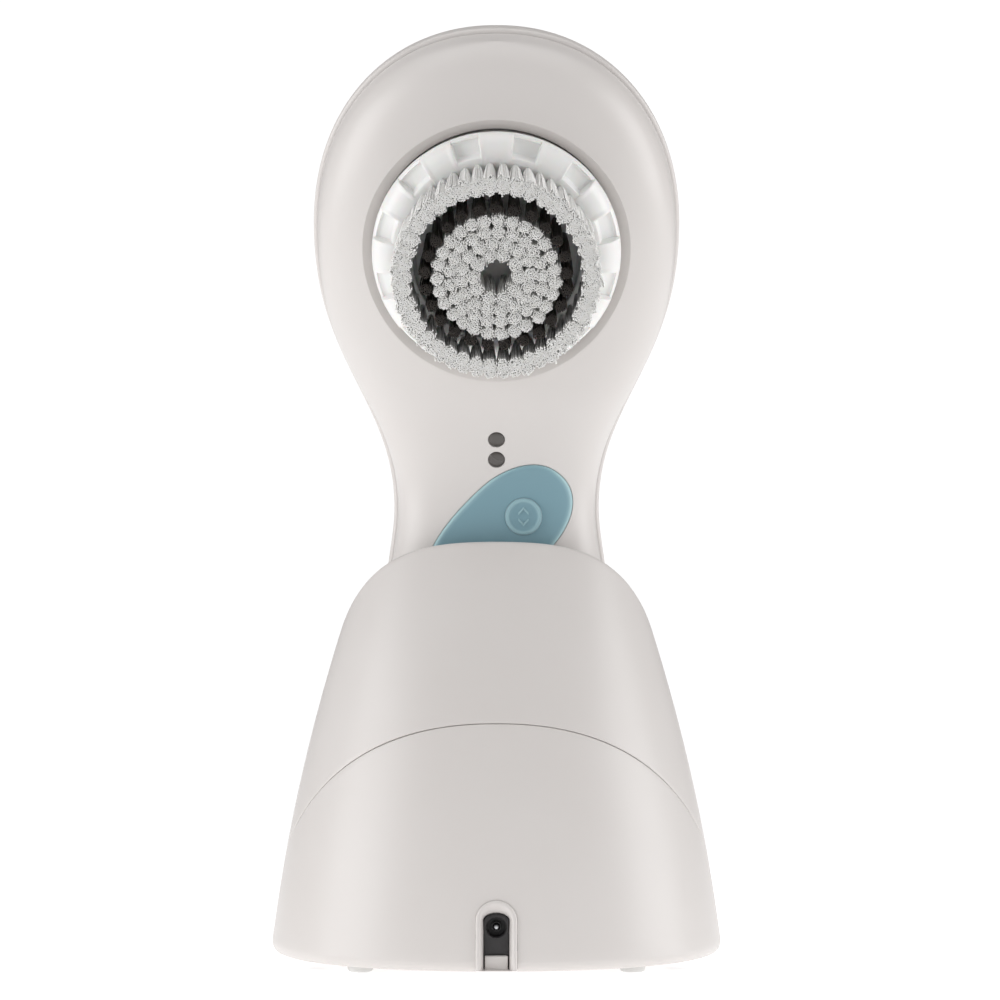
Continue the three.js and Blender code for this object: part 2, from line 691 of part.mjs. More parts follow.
function buildMotor() {
  const plateSide = [[12, -33], [17, -20], [20, 0], [17, 15], [8, 20]];
  const plate = [...plateSide, ...plateSide.map(([x, y]) => [-x, y]).reverse()];
  const plateOutline = plate.map(([x, y]) => new THREE.Vector2(x, y));
  const posts = [-1, 1].map((side) => rod(2.2, -11.5, 2, 16).translate([side * 16, 5, 0]));
  const bridge = [[-20, 1], [-9.5, -9], [9.5, -9], [20, 1], [20, 16], [-20, 16]];
  const bridgeOutline = bridge.map(([x, y]) => new THREE.Vector2(x, y));
  const bridgeHoles = [circle(5.9, 28), ...FRAME_SCREWS.map(([, x]) => circle(1.3, 14, x, FRAME_SCREW_Y))];
  const rails = [-1, 1].map((side) => block(4.8, 16, 1.6, [side * 9.6, -39, -6.4]));
  const frame = prism(plateOutline, -12.8, -11)
    .add(spanned([-12, 12], [-33, -31], [-11.5, -5.6]))
    .add(rails[0])
    .add(rails[1])
    .add(ring(5.9, 8.4, -12, -6.6))
    .add(posts[0])
    .add(posts[1])
    .add(prism(bridgeOutline, 1, 3, bridgeHoles));
  add('motor_frame', frame, GREY_PLASTIC, head);
  for (const [name, x] of FRAME_SCREWS) {
    const screw = turned([[0, -0.8], [2.3, -0.8], [2.3, 0.7], [1, 0.7], [1, 5.6], [0, 5.6]], 16);
    add(`frame_screw_${name}`, screw, STEEL, head).position.set(x, FRAME_SCREW_Y, 0);
  }
  const bush = (from) => turned([
    [SHAFT_RADIUS + GAP, from],
    [5.6, from],
    [5.6, from + 4],
    [SHAFT_RADIUS + GAP, from + 4],
  ], 28);
  add('rear_bearing', bush(-10.6), BRASS, head);
  add('front_bearing', bush(0), BRASS, head);
  buildStator();
}

function buildStator() {
  const legs = [[-11, -7.5], [-2.2, 2.2], [7.5, 11]];
  const core = legs.reduce(
    (sum, leg) => sum.add(spanned(leg, [-43, -34.2], [-5, 1])),
    spanned([-11, 11], [-46, -42.5], [-5, 1]),
  );
  add('stator_core', core, STEEL, head);
  const winding = spanned([-6.6, 6.6], [-41.8, -35.6], [-9, 5]).subtract(
    spanned([-2.5, 2.5], [-50, -30], [-5.3, 1.3]),
  );
  add('stator_winding', winding, COPPER, head);
}

function buildDrive() {
  add('drive_shaft', rod(SHAFT_RADIUS, -10.8, HUB_FOOT - GAP, 28), STEEL, head);
  add('drive_hub', prism(hubOutline(0), HUB_FOOT, HUB_TOP), BLACK_PLASTIC, head);
  const armSide = [[6.5, 0], [4, -20], [10, -26.4], [10, -29.2]];
  const arm = [...armSide.map(([x, y]) => [-x, y]), ...armSide.reverse()];
  const armOutline = arm.map(([x, y]) => new THREE.Vector2(x, y));
  const bore = rod(SHAFT_RADIUS + GAP, -6, 0, 28);
  const armature = prism(armOutline, -4.6, -1.4).add(rod(6.5, -5.6, -0.6, 28)).subtract(bore);
  add('armature_arm', armature, STEEL, head);
  for (const [name, side] of [['left', -1], ['right', 1]]) {
    const edges = [side * 0.9, side * 9.6].sort((a, b) => a - b);
    add(`magnet_${name}`, spanned(edges, [-32.3, -29.5], [-5, 1]), MAGNET_PLATE, head);
  }
}

// The drive hub's three-lobed outline, which keys the brush disc to it.
function hubOutline(grow) {
  return Array.from({ length: 30 }, (_, i) => {
    const angle = (2 * Math.PI * i) / 30;
    const radius = 5.6 + grow + 0.9 * Math.cos(3 * angle);
    return new THREE.Vector2(radius * Math.cos(angle), radius * Math.sin(angle));
  });
}

function buildSocket() {
  const cup = turned([
    [8, 6],
    [26.2, 6],
    [26.2, 10.9],
    [SOCKET_BORE, 10.9],
    [SOCKET_BORE, SOCKET_FLOOR],
    [8, SOCKET_FLOOR],
  ], 28);
  const bosses = FRAME_SCREWS.map(([, x]) => rod(3, 3 + GAP, 6.4, 18).translate([x, FRAME_SCREW_Y, 0]));
  const pilots = FRAME_SCREWS.map(([, x]) => rod(1.3, 3, 6, 14).translate([x, FRAME_SCREW_Y, 0]));
  const socket = cup.add(bosses[0]).add(bosses[1]).subtract(pilots[0]).subtract(pilots[1]);
  add('brush_socket', socket, SHELL_WHITE, head);
  add('shaft_seal', ring(SHAFT_RADIUS + GAP, 8 - GAP, 5.4, 7.4, 28), SOFT_GREY, head);
}

// ---------------------------------------------------------------- brush head

function buildBrushHead() {
  let collar = turned([
    [SKIRT_BORE, COLLAR_FOOT],
    [SKIRT_RADIUS, COLLAR_FOOT],
    [SKIRT_RADIUS, SKIRT_TOP],
    [COLLAR_RADIUS, RIM_FOOT],
    [COLLAR_RADIUS, RIM_TOP],
    [23.9, 19],
    [22.5, 20.4],
    [20.6, COLLAR_TOP],
    [FLANGE_BORE, COLLAR_TOP],
    [FLANGE_BORE, FLANGE_FOOT],
    [18.4, FLANGE_FOOT],
    [18.4, NOTCH_BACK],
    [SKIRT_BORE, NOTCH_BACK],
  ], 28);
  const notch = block(6, 5.4, 4, [COLLAR_RADIUS - 1, 0, COLLAR_TOP - 1.4]);
  for (let i = 0; i < 12; i += 1) {
    collar = collar.subtract(notch.rotate([0, 0, 15 + 30 * i]));
  }
  add('brush_collar', collar, BRISTLE_WHITE, head);
  add('retaining_ring', ring(10, SKIRT_BORE - 0.4, 12.9, 14.9, 28), BRISTLE_WHITE, head);
  const tuftRoot = COLLAR_TOP + GAP;
  const outerTufts = turned([[16.8, tuftRoot], [19.9, tuftRoot], [20.2, TIP_HEIGHT], [16.9, TIP_HEIGHT]], 28);
  add('outer_bristles', outerTufts, BRISTLE_WHITE, head);

  const disc = turned([
    [0, 9.5],
    [9, 9.5],
    [9, 15.3],
    [17.5, 15.3],
    [17.5, 17.6],
    [DISC_RADIUS, 17.6],
    [DISC_RADIUS, DISC_TOP],
    [0, DISC_TOP],
  ], 28).subtract(prism(hubOutline(0.35), 9, HUB_TOP + 0.4));
  add('brush_disc', disc, BRISTLE_WHITE, head);
  const tuftRing = (inner, outer) => ring(inner, outer, DISC_TOP + GAP, TIP_HEIGHT);
  add('dark_bristles', tuftRing(13.1, 14.8), BRISTLE_DARK, head);
  add('inner_bristles', tuftRing(3.1, 12.7), BRISTLE_WHITE, head);
}

buildDock();
buildCovers();
buildPad();
buildButton(LEVEL_BUTTON);
buildButton(POWER_BUTTON);
buildLights();
buildGripInsides();
buildMotor();
buildDrive();
buildSocket();
buildBrushHead();

export default brushInDock;
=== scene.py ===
"""A facial cleansing brush standing in its charging dock: every visible surface, around the CAD frame.

Shapes are worked out in millimetres in the part's own frame (X right, -Y to the viewer, Z up) and become
metres in make(). Places on the handle are given by s, the distance along its centre line from the bottom
of the grip; x; and h, the height in front of the centre line (behind it where h is negative).
"""

import json
import math

import bmesh
import bpy
import numpy as np
from mathutils import Matrix, Vector


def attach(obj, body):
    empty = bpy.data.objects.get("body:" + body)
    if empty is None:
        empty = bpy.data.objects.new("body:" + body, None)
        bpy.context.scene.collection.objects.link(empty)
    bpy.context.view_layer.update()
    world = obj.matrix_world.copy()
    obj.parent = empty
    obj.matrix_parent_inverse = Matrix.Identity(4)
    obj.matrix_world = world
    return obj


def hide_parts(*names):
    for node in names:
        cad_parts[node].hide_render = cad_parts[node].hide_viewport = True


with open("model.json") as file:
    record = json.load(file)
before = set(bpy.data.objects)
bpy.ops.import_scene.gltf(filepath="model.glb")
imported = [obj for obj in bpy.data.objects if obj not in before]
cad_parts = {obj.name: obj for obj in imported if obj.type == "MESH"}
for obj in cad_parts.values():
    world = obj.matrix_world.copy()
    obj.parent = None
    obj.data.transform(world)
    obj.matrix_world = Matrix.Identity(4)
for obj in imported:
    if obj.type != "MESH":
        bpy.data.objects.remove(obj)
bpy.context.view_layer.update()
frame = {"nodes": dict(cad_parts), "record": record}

MM = 0.001
RNG = np.random.default_rng(7)

# ---------------------------------------------------------------- the object's driving dimensions

GRIP_FOOT_Y, GRIP_FOOT_Z = 10.5, 12.0
STRAIGHT = 84.0
BEND_RADIUS = 95.8
HEAD_LEAN = math.radians(18.5)
BEND_END = STRAIGHT + BEND_RADIUS * HEAD_LEAN
HEAD_S = 135.6
HANDLE_LENGTH = 176.3
GRIP_S, GRIP_HALF_WIDTH = 58.0, 22.6
NECK_S, NECK_HALF_WIDTH = 78.0, 20.7
HEAD_HALF_WIDTH = 36.5
GRIP_END_POWER, HEAD_END_POWER = 2.6, 2.15
FRONT = {
    "sign": 1, "grip": 12, "head": 17.5, "from": 80, "to": 106,
    "grip_power": 2.7, "head_power": 2.9, "inset": 0.8,
}
REAR = {
    "sign": -1, "grip": 14, "head": 18, "from": 80, "to": 112,
    "grip_power": 2.3, "head_power": 2.3, "inset": 0.0,
}
COVER_WALL = 2.2
FLANK = 1.0
PARTING = 0.45
SEAM = 0.12                            # half the gap that shows between the covers' outer edges

OPENING_RADIUS = 26.4
BORE_RADIUS = 24.0
BORE_FLOOR = 11.2
BORE_WALL_RADIUS = 28.2
COLLAR_RADIUS = 24.45
COLLAR_TOP = 21.0
DISC_TOP = 19.5
TIP_HEIGHT = 34.0
SOCKET_FLOOR = 7.7

PAD = {
    "s": 72.3, "x": -0.1, "half_length": 18.0, "half_width": 9.15, "turn": math.radians(-46.5),
    "power": 2.3, "swell": 0.13,
}
PAD_DEPTH, PAD_PROUD = 1.1, 0.48
POCKET_DEPTH, POCKET_GAP = 1.3, 0.1
BUTTON_HOLE = 1.5
LEVEL_BUTTON = {"name": "level", "s": 76.5, "x": 5.4, "radius": 3.7, "proud": 0.9}
POWER_BUTTON = {"name": "power", "s": 65.2, "x": -7.0, "radius": 3.7, "proud": 0.0}
LENSES = {"upper": 93.3, "lower": 88.5}
LENS_RADIUS = 1.6

DOCK_POWER = 2.2
DOCK_WALL = 2.4
SHELL_FOOT = 2.0
RIM_CURVE = [(-9.5, 84.6), (0.5, 85.2), (4, 57), (32, 50)]
PARTING_CURVE = [(-27.5, 49.8), (-12, 31), (0, 9), (40, 9)]
WELL_CLEARANCE = 0.7
LINER_WALL = 1.6
BOSS_PLACE = (35.6, 17.5)
FOOT_PLACE = (26.6, 22.0)
FOOT_RADIUS = 2.6
CORNERS = [(1, 1), (-1, 1), (-1, -1), (1, -1)]

# ---------------------------------------------------------------- materials


class Finish:
    """A Principled material that is grown node by node; every pattern is in object space, in metres."""

    def __init__(self, name, color, roughness, metallic=0.0, **sockets):
        self.material = bpy.data.materials.new(name)
        self.material.use_nodes = True
        self.nodes = self.material.node_tree.nodes
        self.links = self.material.node_tree.links
        self.shader = self.nodes["Principled BSDF"]
        self.color = color
        self.set("Base Color", (*color, 1))
        self.set("Roughness", roughness)
        self.set("Metallic", metallic)
        for socket, value in sockets.items():
            self.set(socket.replace("_", " "), value)
        self.place = self.nodes.new("ShaderNodeTexCoord").outputs["Object"]
        self.bump = None

    def set(self, socket, value):
        self.shader.inputs[socket].default_value = value

    def node(self, kind, **values):
        node = self.nodes.new(kind)
        for name, value in values.items():
            if name in node.inputs:
                node.inputs[name].default_value = value
            else:
                setattr(node, name, value)
        return node

    def stretched(self, scale):
        mapping = self.node("ShaderNodeMapping")
        mapping.inputs["Scale"].default_value = scale
        self.links.new(self.place, mapping.inputs["Vector"])
        return mapping.outputs["Vector"]

    def noise(self, size, detail=3.0, place=None):
        """Noise whose features are about size millimetres across."""
        noise = self.node("ShaderNodeTexNoise", Scale=1 / (size * MM), Detail=detail)
        self.links.new(place or self.place, noise.inputs["Vector"])
        return noise.outputs["Fac"]

    def fade(self, attribute, color):
        """Turns the colour towards another by the share that a mesh attribute gives."""
        base = self.shader.inputs["Base Color"]
        share = self.node("ShaderNodeAttribute", attribute_name=attribute)
        mix = self.node("ShaderNodeMix", data_type="RGBA")
        sockets = {socket.identifier: socket for socket in mix.inputs}
        if base.links:
            self.links.new(base.links[0].from_socket, sockets["A_Color"])
        else:
            sockets["A_Color"].default_value = (*self.color, 1)
        sockets["B_Color"].default_value = (*color, 1)
        self.links.new(share.outputs["Fac"], sockets["Factor_Float"])
        result = next(socket for socket in mix.outputs if socket.identifier == "Result_Color")
        self.links.new(result, base)
        return self

    def ramp(self, value, *stops):
        ramp = self.node("ShaderNodeValToRGB")
        elements = ramp.color_ramp.elements
        while len(elements) < len(stops):
            elements.new(0.5)
        for element, (position, color) in zip(elements, stops):
            element.position = position
            element.color = (*color, 1)
        self.links.new(value, ramp.inputs["Fac"])
        return ramp.outputs["Color"]

    def mottle(self, size, amount, tint=(1, 1, 1)):
        """The base colour drifts a little darker over patches of about size millimetres."""
        dark = tuple(c * (1 - amount) * t for c, t in zip(self.color, tint))
        color = self.ramp(self.noise(size), (0.3, dark), (0.7, self.color))
        self.links.new(color, self.shader.inputs["Base Color"])
        return self

    def polish(self, size, low, high):
        """Roughness that wanders between two values, as handling leaves it."""
        spread = self.node("ShaderNodeMapRange")
        spread.inputs["To Min"].default_value = low
        spread.inputs["To Max"].default_value = high
        self.links.new(self.noise(size), spread.inputs["Value"])
        self.links.new(spread.outputs["Result"], self.shader.inputs["Roughness"])
        return self

    def relief(self, height, depth, strength=1.0):
        """Bump from a height output; depth is in millimetres."""
        bump = self.node("ShaderNodeBump", Distance=depth * MM, Strength=strength)
        self.links.new(height, bump.inputs["Height"])
        if self.bump:
            self.links.new(self.bump, bump.inputs["Normal"])
        self.bump = bump.outputs["Normal"]
        self.links.new(self.bump, self.shader.inputs["Normal"])
        return self

    def grain(self, size, depth, strength=1.0, place=None):
        return self.relief(self.noise(size, 2.0, place), depth, strength)


def moulded(name, color, roughness, depth=0.006, **sockets):
    """Injection-moulded plastic: a very fine spark-eroded texture, a faint flow of colour and wear."""
    finish = Finish(name, color, roughness, **sockets)
    finish.mottle(38, 0.025, (1, 0.995, 0.99))
    finish.polish(9, roughness - 0.04, roughness + 0.05)
    return finish.grain(0.22, depth).grain(6.0, 0.012)


def filament(name, color, root, roughness):
    """Nylon filament: each strand a slightly different shade, its colour drifting at random between the given
    colour and the darker root tone.
    """
    finish = Finish(
        name, color, roughness,
        Subsurface_Weight=0.35, Subsurface_Scale=0.0008, Subsurface_Radius=(1, 1, 1),
    )
    shade = finish.ramp(finish.noise(0.6, 1.0), (0.25, root), (0.62, color))
    finish.links.new(shade, finish.shader.inputs["Base Color"])
    return finish.grain(0.08, 0.01)


def brushed(name, color, roughness, stretch=(1, 1, 0.04)):
    """Metal with fine drawn lines."""
    finish = Finish(name, color, roughness, 1.0)
    lines = finish.noise(0.05, 2.0, finish.stretched(stretch))
    finish.mottle(5, 0.08)
    finish.polish(3, roughness - 0.06, roughness + 0.08)
    return finish.relief(lines, 0.004)


def wound_wire(name, color):
    """Enamelled copper wire: close parallel turns, with painted shade darkening the grooves between them."""
    finish = Finish(name, color, 0.32, 0.85, Coat_Weight=0.35, Coat_Roughness=0.2)
    wave = finish.node("ShaderNodeTexWave", bands_direction="Z", wave_profile="SIN")
    wave.inputs["Scale"].default_value = 2 * math.pi / (0.45 * MM) / 20
    wave.inputs["Distortion"].default_value = 0.25
    finish.links.new(finish.place, wave.inputs["Vector"])
    # Painted shade: the colour falls to under half in the grooves where the bump sinks.
    groove_shade = finish.ramp(wave.outputs["Fac"], (0.1, tuple(c * 0.45 for c in color)), (0.6, color))
    finish.links.new(groove_shade, finish.shader.inputs["Base Color"])
    return finish.relief(wave.outputs["Fac"], 0.12)


def board_laminate(name):
    """Green solder mask over copper tracks."""
    finish = Finish(name, (0.02, 0.13, 0.06), 0.35, Coat_Weight=0.4, Coat_Roughness=0.15)
    brick = finish.node("ShaderNodeTexBrick", Color1=(0.02, 0.14, 0.07, 1), Color2=(0.015, 0.10, 0.05, 1))
    brick.inputs["Mortar"].default_value = (0.06, 0.26, 0.12, 1)
    brick.inputs["Scale"].default_value = 420
    brick.inputs["Mortar Size"].default_value = 0.06
    finish.links.new(finish.stretched((1, 0.4, 1)), brick.inputs["Vector"])
    finish.links.new(brick.outputs["Color"], finish.shader.inputs["Base Color"])
    return finish.relief(brick.outputs["Fac"], 0.03).grain(0.5, 0.01)


def cell_film(name):
    """Blue shrink film with a darker band near one end."""
    blue, dark = (0.05, 0.16, 0.42), (0.02, 0.03, 0.05)
    finish = Finish(name, blue, 0.28, Coat_Weight=0.5)
    split = finish.node("ShaderNodeSeparateXYZ")
    finish.links.new(finish.place, split.inputs["Vector"])
    height = finish.node("ShaderNodeMapRange")
    height.inputs["From Min"].default_value = 0.036
    height.inputs["From Max"].default_value = 0.086
    finish.links.new(split.outputs["Z"], height.inputs["Value"])
    band = finish.ramp(height.outputs["Result"], (0.0, blue), (0.84, blue), (0.86, dark))
    finish.links.new(band, finish.shader.inputs["Base Color"])
    return finish.grain(2.5, 0.05)


SLOTS = {
    "shell_plastic": moulded("shell_plastic", (0.70, 0.668, 0.650), 0.36),
    "brush_plastic": moulded(
        "brush_plastic", (0.86, 0.86, 0.85), 0.30, 0.004, Subsurface_Weight=0.12, Subsurface_Scale=0.001,
    ),
    "pad_elastomer": moulded(
        "pad_elastomer", (0.19, 0.335, 0.395), 0.50, 0.01, Sheen_Weight=0.45, Sheen_Roughness=0.45,
    ),
    "lens_plastic": moulded(
        "lens_plastic", (0.062, 0.053, 0.047), 0.28, 0.002, Coat_Weight=0.6, Coat_Roughness=0.08,
    ),
    "white_filament": filament("white_filament", (0.975, 0.97, 0.955), (0.90, 0.885, 0.85), 0.5),
    "dark_filament": filament("dark_filament", (0.030, 0.023, 0.018), (0.010, 0.008, 0.007), 0.42),
    "black_plastic": moulded("black_plastic", (0.022, 0.020, 0.021), 0.42, 0.012),
    "grey_plastic": moulded("grey_plastic", (0.16, 0.17, 0.18), 0.5, 0.012),
    "seal_rubber": moulded("seal_rubber", (0.10, 0.10, 0.105), 0.7, 0.015),
    "foot_rubber": moulded("foot_rubber", (0.80, 0.80, 0.79), 0.6, 0.012),
    "steel": brushed("steel", (0.55, 0.56, 0.58), 0.3),
    "magnet_metal": brushed("magnet_metal", (0.50, 0.51, 0.52), 0.18, (1, 1, 1)),
    "copper_wire": wound_wire("copper_wire", (0.55, 0.20, 0.07)),
    "bronze": Finish("bronze", (0.50, 0.33, 0.13), 0.45, 1.0).mottle(1.2, 0.3).grain(0.15, 0.01),
    "ferrite": Finish("ferrite", (0.025, 0.025, 0.027), 0.55, 0.4).mottle(2.0, 0.3).grain(0.12, 0.015),
    "circuit_board": board_laminate("circuit_board"),
    "cell_sleeve": cell_film("cell_sleeve"),
}

# The pad's edge band is painted paler through the pale attribute, a painted highlight along its rounded edge;
# the buttons' rings and marks are made paler through the same attribute.
SLOTS["pad_elastomer"].fade("pale", (0.40, 0.60, 0.63))

# ---------------------------------------------------------------- meshes


def ring_stack(rings, wrap=False):
    """Points and quads of a skin over rings of points; wrap joins the last ring to the first."""
    rings = np.asarray(rings, float)
    rows, count, _ = rings.shape
    i = np.arange(rows if wrap else rows - 1)[:, None] * np.ones((1, count), int)
    j = np.arange(count)[None, :] * np.ones_like(i)
    k = (j + 1) % count
    after = ((i + 1) % rows) * count
    quads = np.stack([i * count + j, i * count + k, after + k, after + j], axis=-1).reshape(-1, 4)
    return rings.reshape(-1, 3), quads


def capped(rings):
    """A closed skin over rings of points, each end fanned to its middle."""
    first, last = [ring.mean(axis=0) * np.ones_like(ring) for ring in (rings[0], rings[-1])]
    return ring_stack([first, *rings, last])


def at_level(outline, z):
    """An outline of (x, y) as points at one height."""
    return np.column_stack([outline, np.full(len(outline), z)])


def make(name, *parts, scratch=False):
    """A mesh object from (points in millimetres, faces) parts, with outward faces and no doubled points."""
    points = np.concatenate([part[0] for part in parts]) * MM
    faces, start = [], 0
    for part_points, part_faces in parts:
        faces += [[corner + start for corner in face] for face in np.asarray(part_faces).tolist()]
        start += len(part_points)
    mesh = bpy.data.meshes.new(name)
    mesh.from_pydata(points.tolist(), [], faces)
    tidy(mesh)
    obj = bpy.data.objects.new(name, mesh)
    bpy.context.scene.collection.objects.link(obj)
    if not scratch:
        soften_shading(obj)
    return obj


def tidy(mesh):
    """Joins doubled points, drops faces without area and turns the faces outwards."""
    work = bmesh.new()
    work.from_mesh(mesh)
    bmesh.ops.remove_doubles(work, verts=work.verts, dist=1e-7)
    bmesh.ops.dissolve_degenerate(work, edges=work.edges, dist=1e-8)
    bmesh.ops.recalc_face_normals(work, faces=work.faces)
    work.to_mesh(mesh)
    work.free()


def soften_shading(obj):
    obj.data.shade_smooth()
    obj.data.set_sharp_from_angle(angle=math.radians(32))


def combine(obj, other, operation):
    """Joins or cuts obj with another closed mesh, which is used up; its parts may not overlap one another."""
    modifier = obj.modifiers.new("cut", "BOOLEAN")
    modifier.operation = operation
    modifier.solver = "EXACT"
    modifier.use_self = False
    modifier.object = other
    bpy.context.view_layer.update()
    mesh = bpy.data.meshes.new_from_object(obj.evaluated_get(bpy.context.evaluated_depsgraph_get()))
    obj.modifiers.clear()
    mesh.name = obj.name
    obj.data = mesh
    bpy.data.objects.remove(other)
    soften_shading(obj)
    return obj


def dress(obj, body, slot, *nodes):
    """Gives a piece its body, its material and the CAD nodes that it stands for."""
    obj.data.materials.clear()
    obj.data.materials.append(SLOTS[slot].material)
    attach(obj, body)
    if nodes:
        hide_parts(*nodes)
    return obj


def soften(corners, closed=True, steps=5):
    """An outline whose corners (a, b, reach) are rounded over their reach."""
    outline = []
    for i, corner in enumerate(corners):
        here = np.array(corner[:2], float)
        reach = corner[2] if len(corner) > 2 else 0
        ends = not closed and i in (0, len(corners) - 1)
        if not reach or ends:
            outline.append(here)
            continue
        towards = [np.array(corners[k % len(corners)][:2], float) - here for k in (i - 1, i + 1)]
        before, after = [here + step * min(reach / np.linalg.norm(step), 0.5) for step in towards]
        for t in np.linspace(0, 1, steps):
            outline.append((1 - t) ** 2 * before + 2 * t * (1 - t) * here + t * t * after)
    return np.array(outline)


def turned(profile, count=144, closed=True):
    """Rings turned about Z from an outline of (radius, height)."""
    angle = np.arange(count) * 2 * math.pi / count
    rings = [np.stack([r * np.cos(angle), r * np.sin(angle), np.full(count, z)], axis=-1) for r, z in profile]
    return ring_stack(rings, wrap=closed)


def rod(radius, low, high, edge=0.2, count=64):
    """A round bar along Z with rounded edges."""
    profile = soften([(0, low), (radius, low, edge), (radius, high, edge), (0, high)], closed=False)
    return turned(profile, count, False)


def slab(outline, low, high, edge=0.25):
    """A plate over an outline of (x, y), with rounded top and bottom edges, fanned to its middle."""
    outline = np.asarray(outline, float)
    ahead, behind = np.roll(outline, -1, axis=0), np.roll(outline, 1, axis=0)
    along = ahead - behind
    normal = np.stack([along[:, 1], -along[:, 0]], axis=-1)
    normal /= np.linalg.norm(normal, axis=1, keepdims=True)
    area = np.sum(outline[:, 0] * ahead[:, 1] - ahead[:, 0] * outline[:, 1])
    normal *= math.copysign(1, area)
    levels = [
        (low, edge), (low + edge * 0.3, edge * 0.3), (low + edge, 0),
        (high - edge, 0), (high - edge * 0.3, edge * 0.3), (high, edge),
    ]
    rings = [at_level(outline - normal * inset, z) for z, inset in levels]
    middle = np.broadcast_to(outline.mean(axis=0), outline.shape)
    return ring_stack([at_level(middle, low), *rings, at_level(middle, high)])


def carried(points, matrix):
    """Points under a 4 by 4 matrix in millimetres."""
    m = np.array(matrix)
    return points @ m[:3, :3].T + m[:3, 3]


def moved(part, matrix):
    """A part under a 4 by 4 matrix in millimetres."""
    points, faces = part
    return carried(points, matrix), faces


# ---------------------------------------------------------------- the handle's form


def smoothstep(low, high, value):
    t = np.clip((value - low) / (high - low), 0, 1)
    return t * t * (3 - 2 * t)


def round_end(q, power):
    """The height of a rounded end, 1 at q = 0 and 0 at q = 1; a higher power makes it squarer."""
    return np.maximum(0, 1 - np.abs(q) ** power) ** (1 / power)


def signed_power(value, power):
    return np.sign(value) * np.abs(value) ** power


def bezier(points, count=600):
    t = np.linspace(0, 1, count)[:, None]
    a, b, c, d = [np.array(p, float) for p in points]
    return (1 - t) ** 3 * a + 3 * t * (1 - t) ** 2 * b + 3 * t * t * (1 - t) * c + t ** 3 * d


def flare(first, last, reach0, reach1):
    """A curve between two (s, half width) places that runs straight along the handle at both."""
    (s0, w0), (s1, w1) = first, last
    return bezier([first, (s0 + reach0, w0), (s1 - reach1, w1), last])


GRIP_TO_NECK = flare((GRIP_S, GRIP_HALF_WIDTH), (NECK_S, NECK_HALF_WIDTH), 8, 6)
NECK_TO_HEAD = flare((NECK_S, NECK_HALF_WIDTH), (HEAD_S, HEAD_HALF_WIDTH), 21.5, 29)


def centre_line(s):
    """The centre line's (y, z) at s and its lean towards the viewer."""
    s = np.asarray(s, float)
    lean = np.clip((s - STRAIGHT) / BEND_RADIUS, 0, HEAD_LEAN)
    beyond = np.maximum(s - BEND_END, 0)
    y = GRIP_FOOT_Y - BEND_RADIUS * (1 - np.cos(lean)) - beyond * np.sin(lean)
    z = GRIP_FOOT_Z + np.minimum(s, STRAIGHT) + BEND_RADIUS * np.sin(lean) + beyond * np.cos(lean)
    return y, z, lean


def place(s, x, h):
    """Part-frame points at a place on the handle."""
    y, z, lean = centre_line(s)
    return np.stack(np.broadcast_arrays(x, y - h * np.cos(lean), z - h * np.sin(lean)), axis=-1)


def half_width(s, inset=0.0):
    """Half the handle's width at s, for an outline drawn in by inset."""
    s = np.asarray(s, float)
    grip = (GRIP_HALF_WIDTH - inset) * round_end((GRIP_S - s) / (GRIP_S - inset), GRIP_END_POWER)
    neck = np.interp(s, *GRIP_TO_NECK.T) - inset
    shoulder = np.interp(s, *NECK_TO_HEAD.T) - inset
    reach = (s - HEAD_S) / (HANDLE_LENGTH - HEAD_S - inset)
    crown = (HEAD_HALF_WIDTH - inset) * round_end(reach, HEAD_END_POWER)
    return np.select([s < GRIP_S, s < NECK_S, s < HEAD_S], [grip, neck, shoulder], crown)


def height(side, x, s, inset=0.0):
    """Height of one side's surface over the parting plane, for a surface drawn in by inset."""
    share = smoothstep(side["from"], side["to"], s)
    plain = side["grip"] + (side["head"] - side["grip"]) * share - inset
    foot = round_end((GRIP_S - s) / (GRIP_S - inset), 4)
    crown = round_end((s - HEAD_S) / (HANDLE_LENGTH - HEAD_S - inset), 2.6)
    ends = np.where(s < GRIP_S, foot, np.where(s > HEAD_S, crown, 1.0))
    power = side["grip_power"] + (side["head_power"] - side["grip_power"]) * share
    width = np.maximum(half_width(s, inset + side["inset"]), 1e-6)
    across = np.minimum(np.abs(x) / width, 1)
    return side["sign"] * (FLANK + (plain - FLANK) * ends * round_end(across, power))


def outline(inset, count):
    """count points evenly along the handle's outline drawn in by inset: (x, s), from the grip's end."""
    turn = np.linspace(0, math.pi / 2, 400)
    foot = GRIP_S - (GRIP_S - inset) * np.cos(turn) ** (2 / GRIP_END_POWER)
    crown = HEAD_S + (HANDLE_LENGTH - HEAD_S - inset) * np.sin(turn) ** (2 / HEAD_END_POWER)
    s = np.concatenate([foot[:-1], np.linspace(GRIP_S, HEAD_S, 800)[:-1], crown])
    x = half_width(s, inset)
    x[0] = x[-1] = 0
    run = np.concatenate([[0], np.cumsum(np.hypot(np.diff(x), np.diff(s)))])
    even = np.linspace(0, run[-1], count // 2 + 1)
    x, s = np.interp(even, run, x), np.interp(even, run, s)
    return np.concatenate([x, -x[-2:0:-1]]), np.concatenate([s, s[-2:0:-1]])


def head_matrix():
    y, z, _ = centre_line(HEAD_S)
    return Matrix.Translation((0, y, z)) @ Matrix.Rotation(math.pi / 2 + HEAD_LEAN, 4, "X")


HEAD = head_matrix()
GRIP = Matrix.Translation((0, GRIP_FOOT_Y, GRIP_FOOT_Z)) @ Matrix.Rotation(math.pi / 2, 4, "X")


def surface_matrix(s):
    """The frame that stands on the front surface at x = 0, its Z straight out."""
    below, here, above = [place(at, 0.0, height(FRONT, 0.0, np.array(at))) for at in (s - 0.5, s, s + 0.5)]
    lean = math.atan2(below[1] - above[1], above[2] - below[2])
    return Matrix.Translation(here) @ Matrix.Rotation(math.pi / 2 + lean, 4, "X")


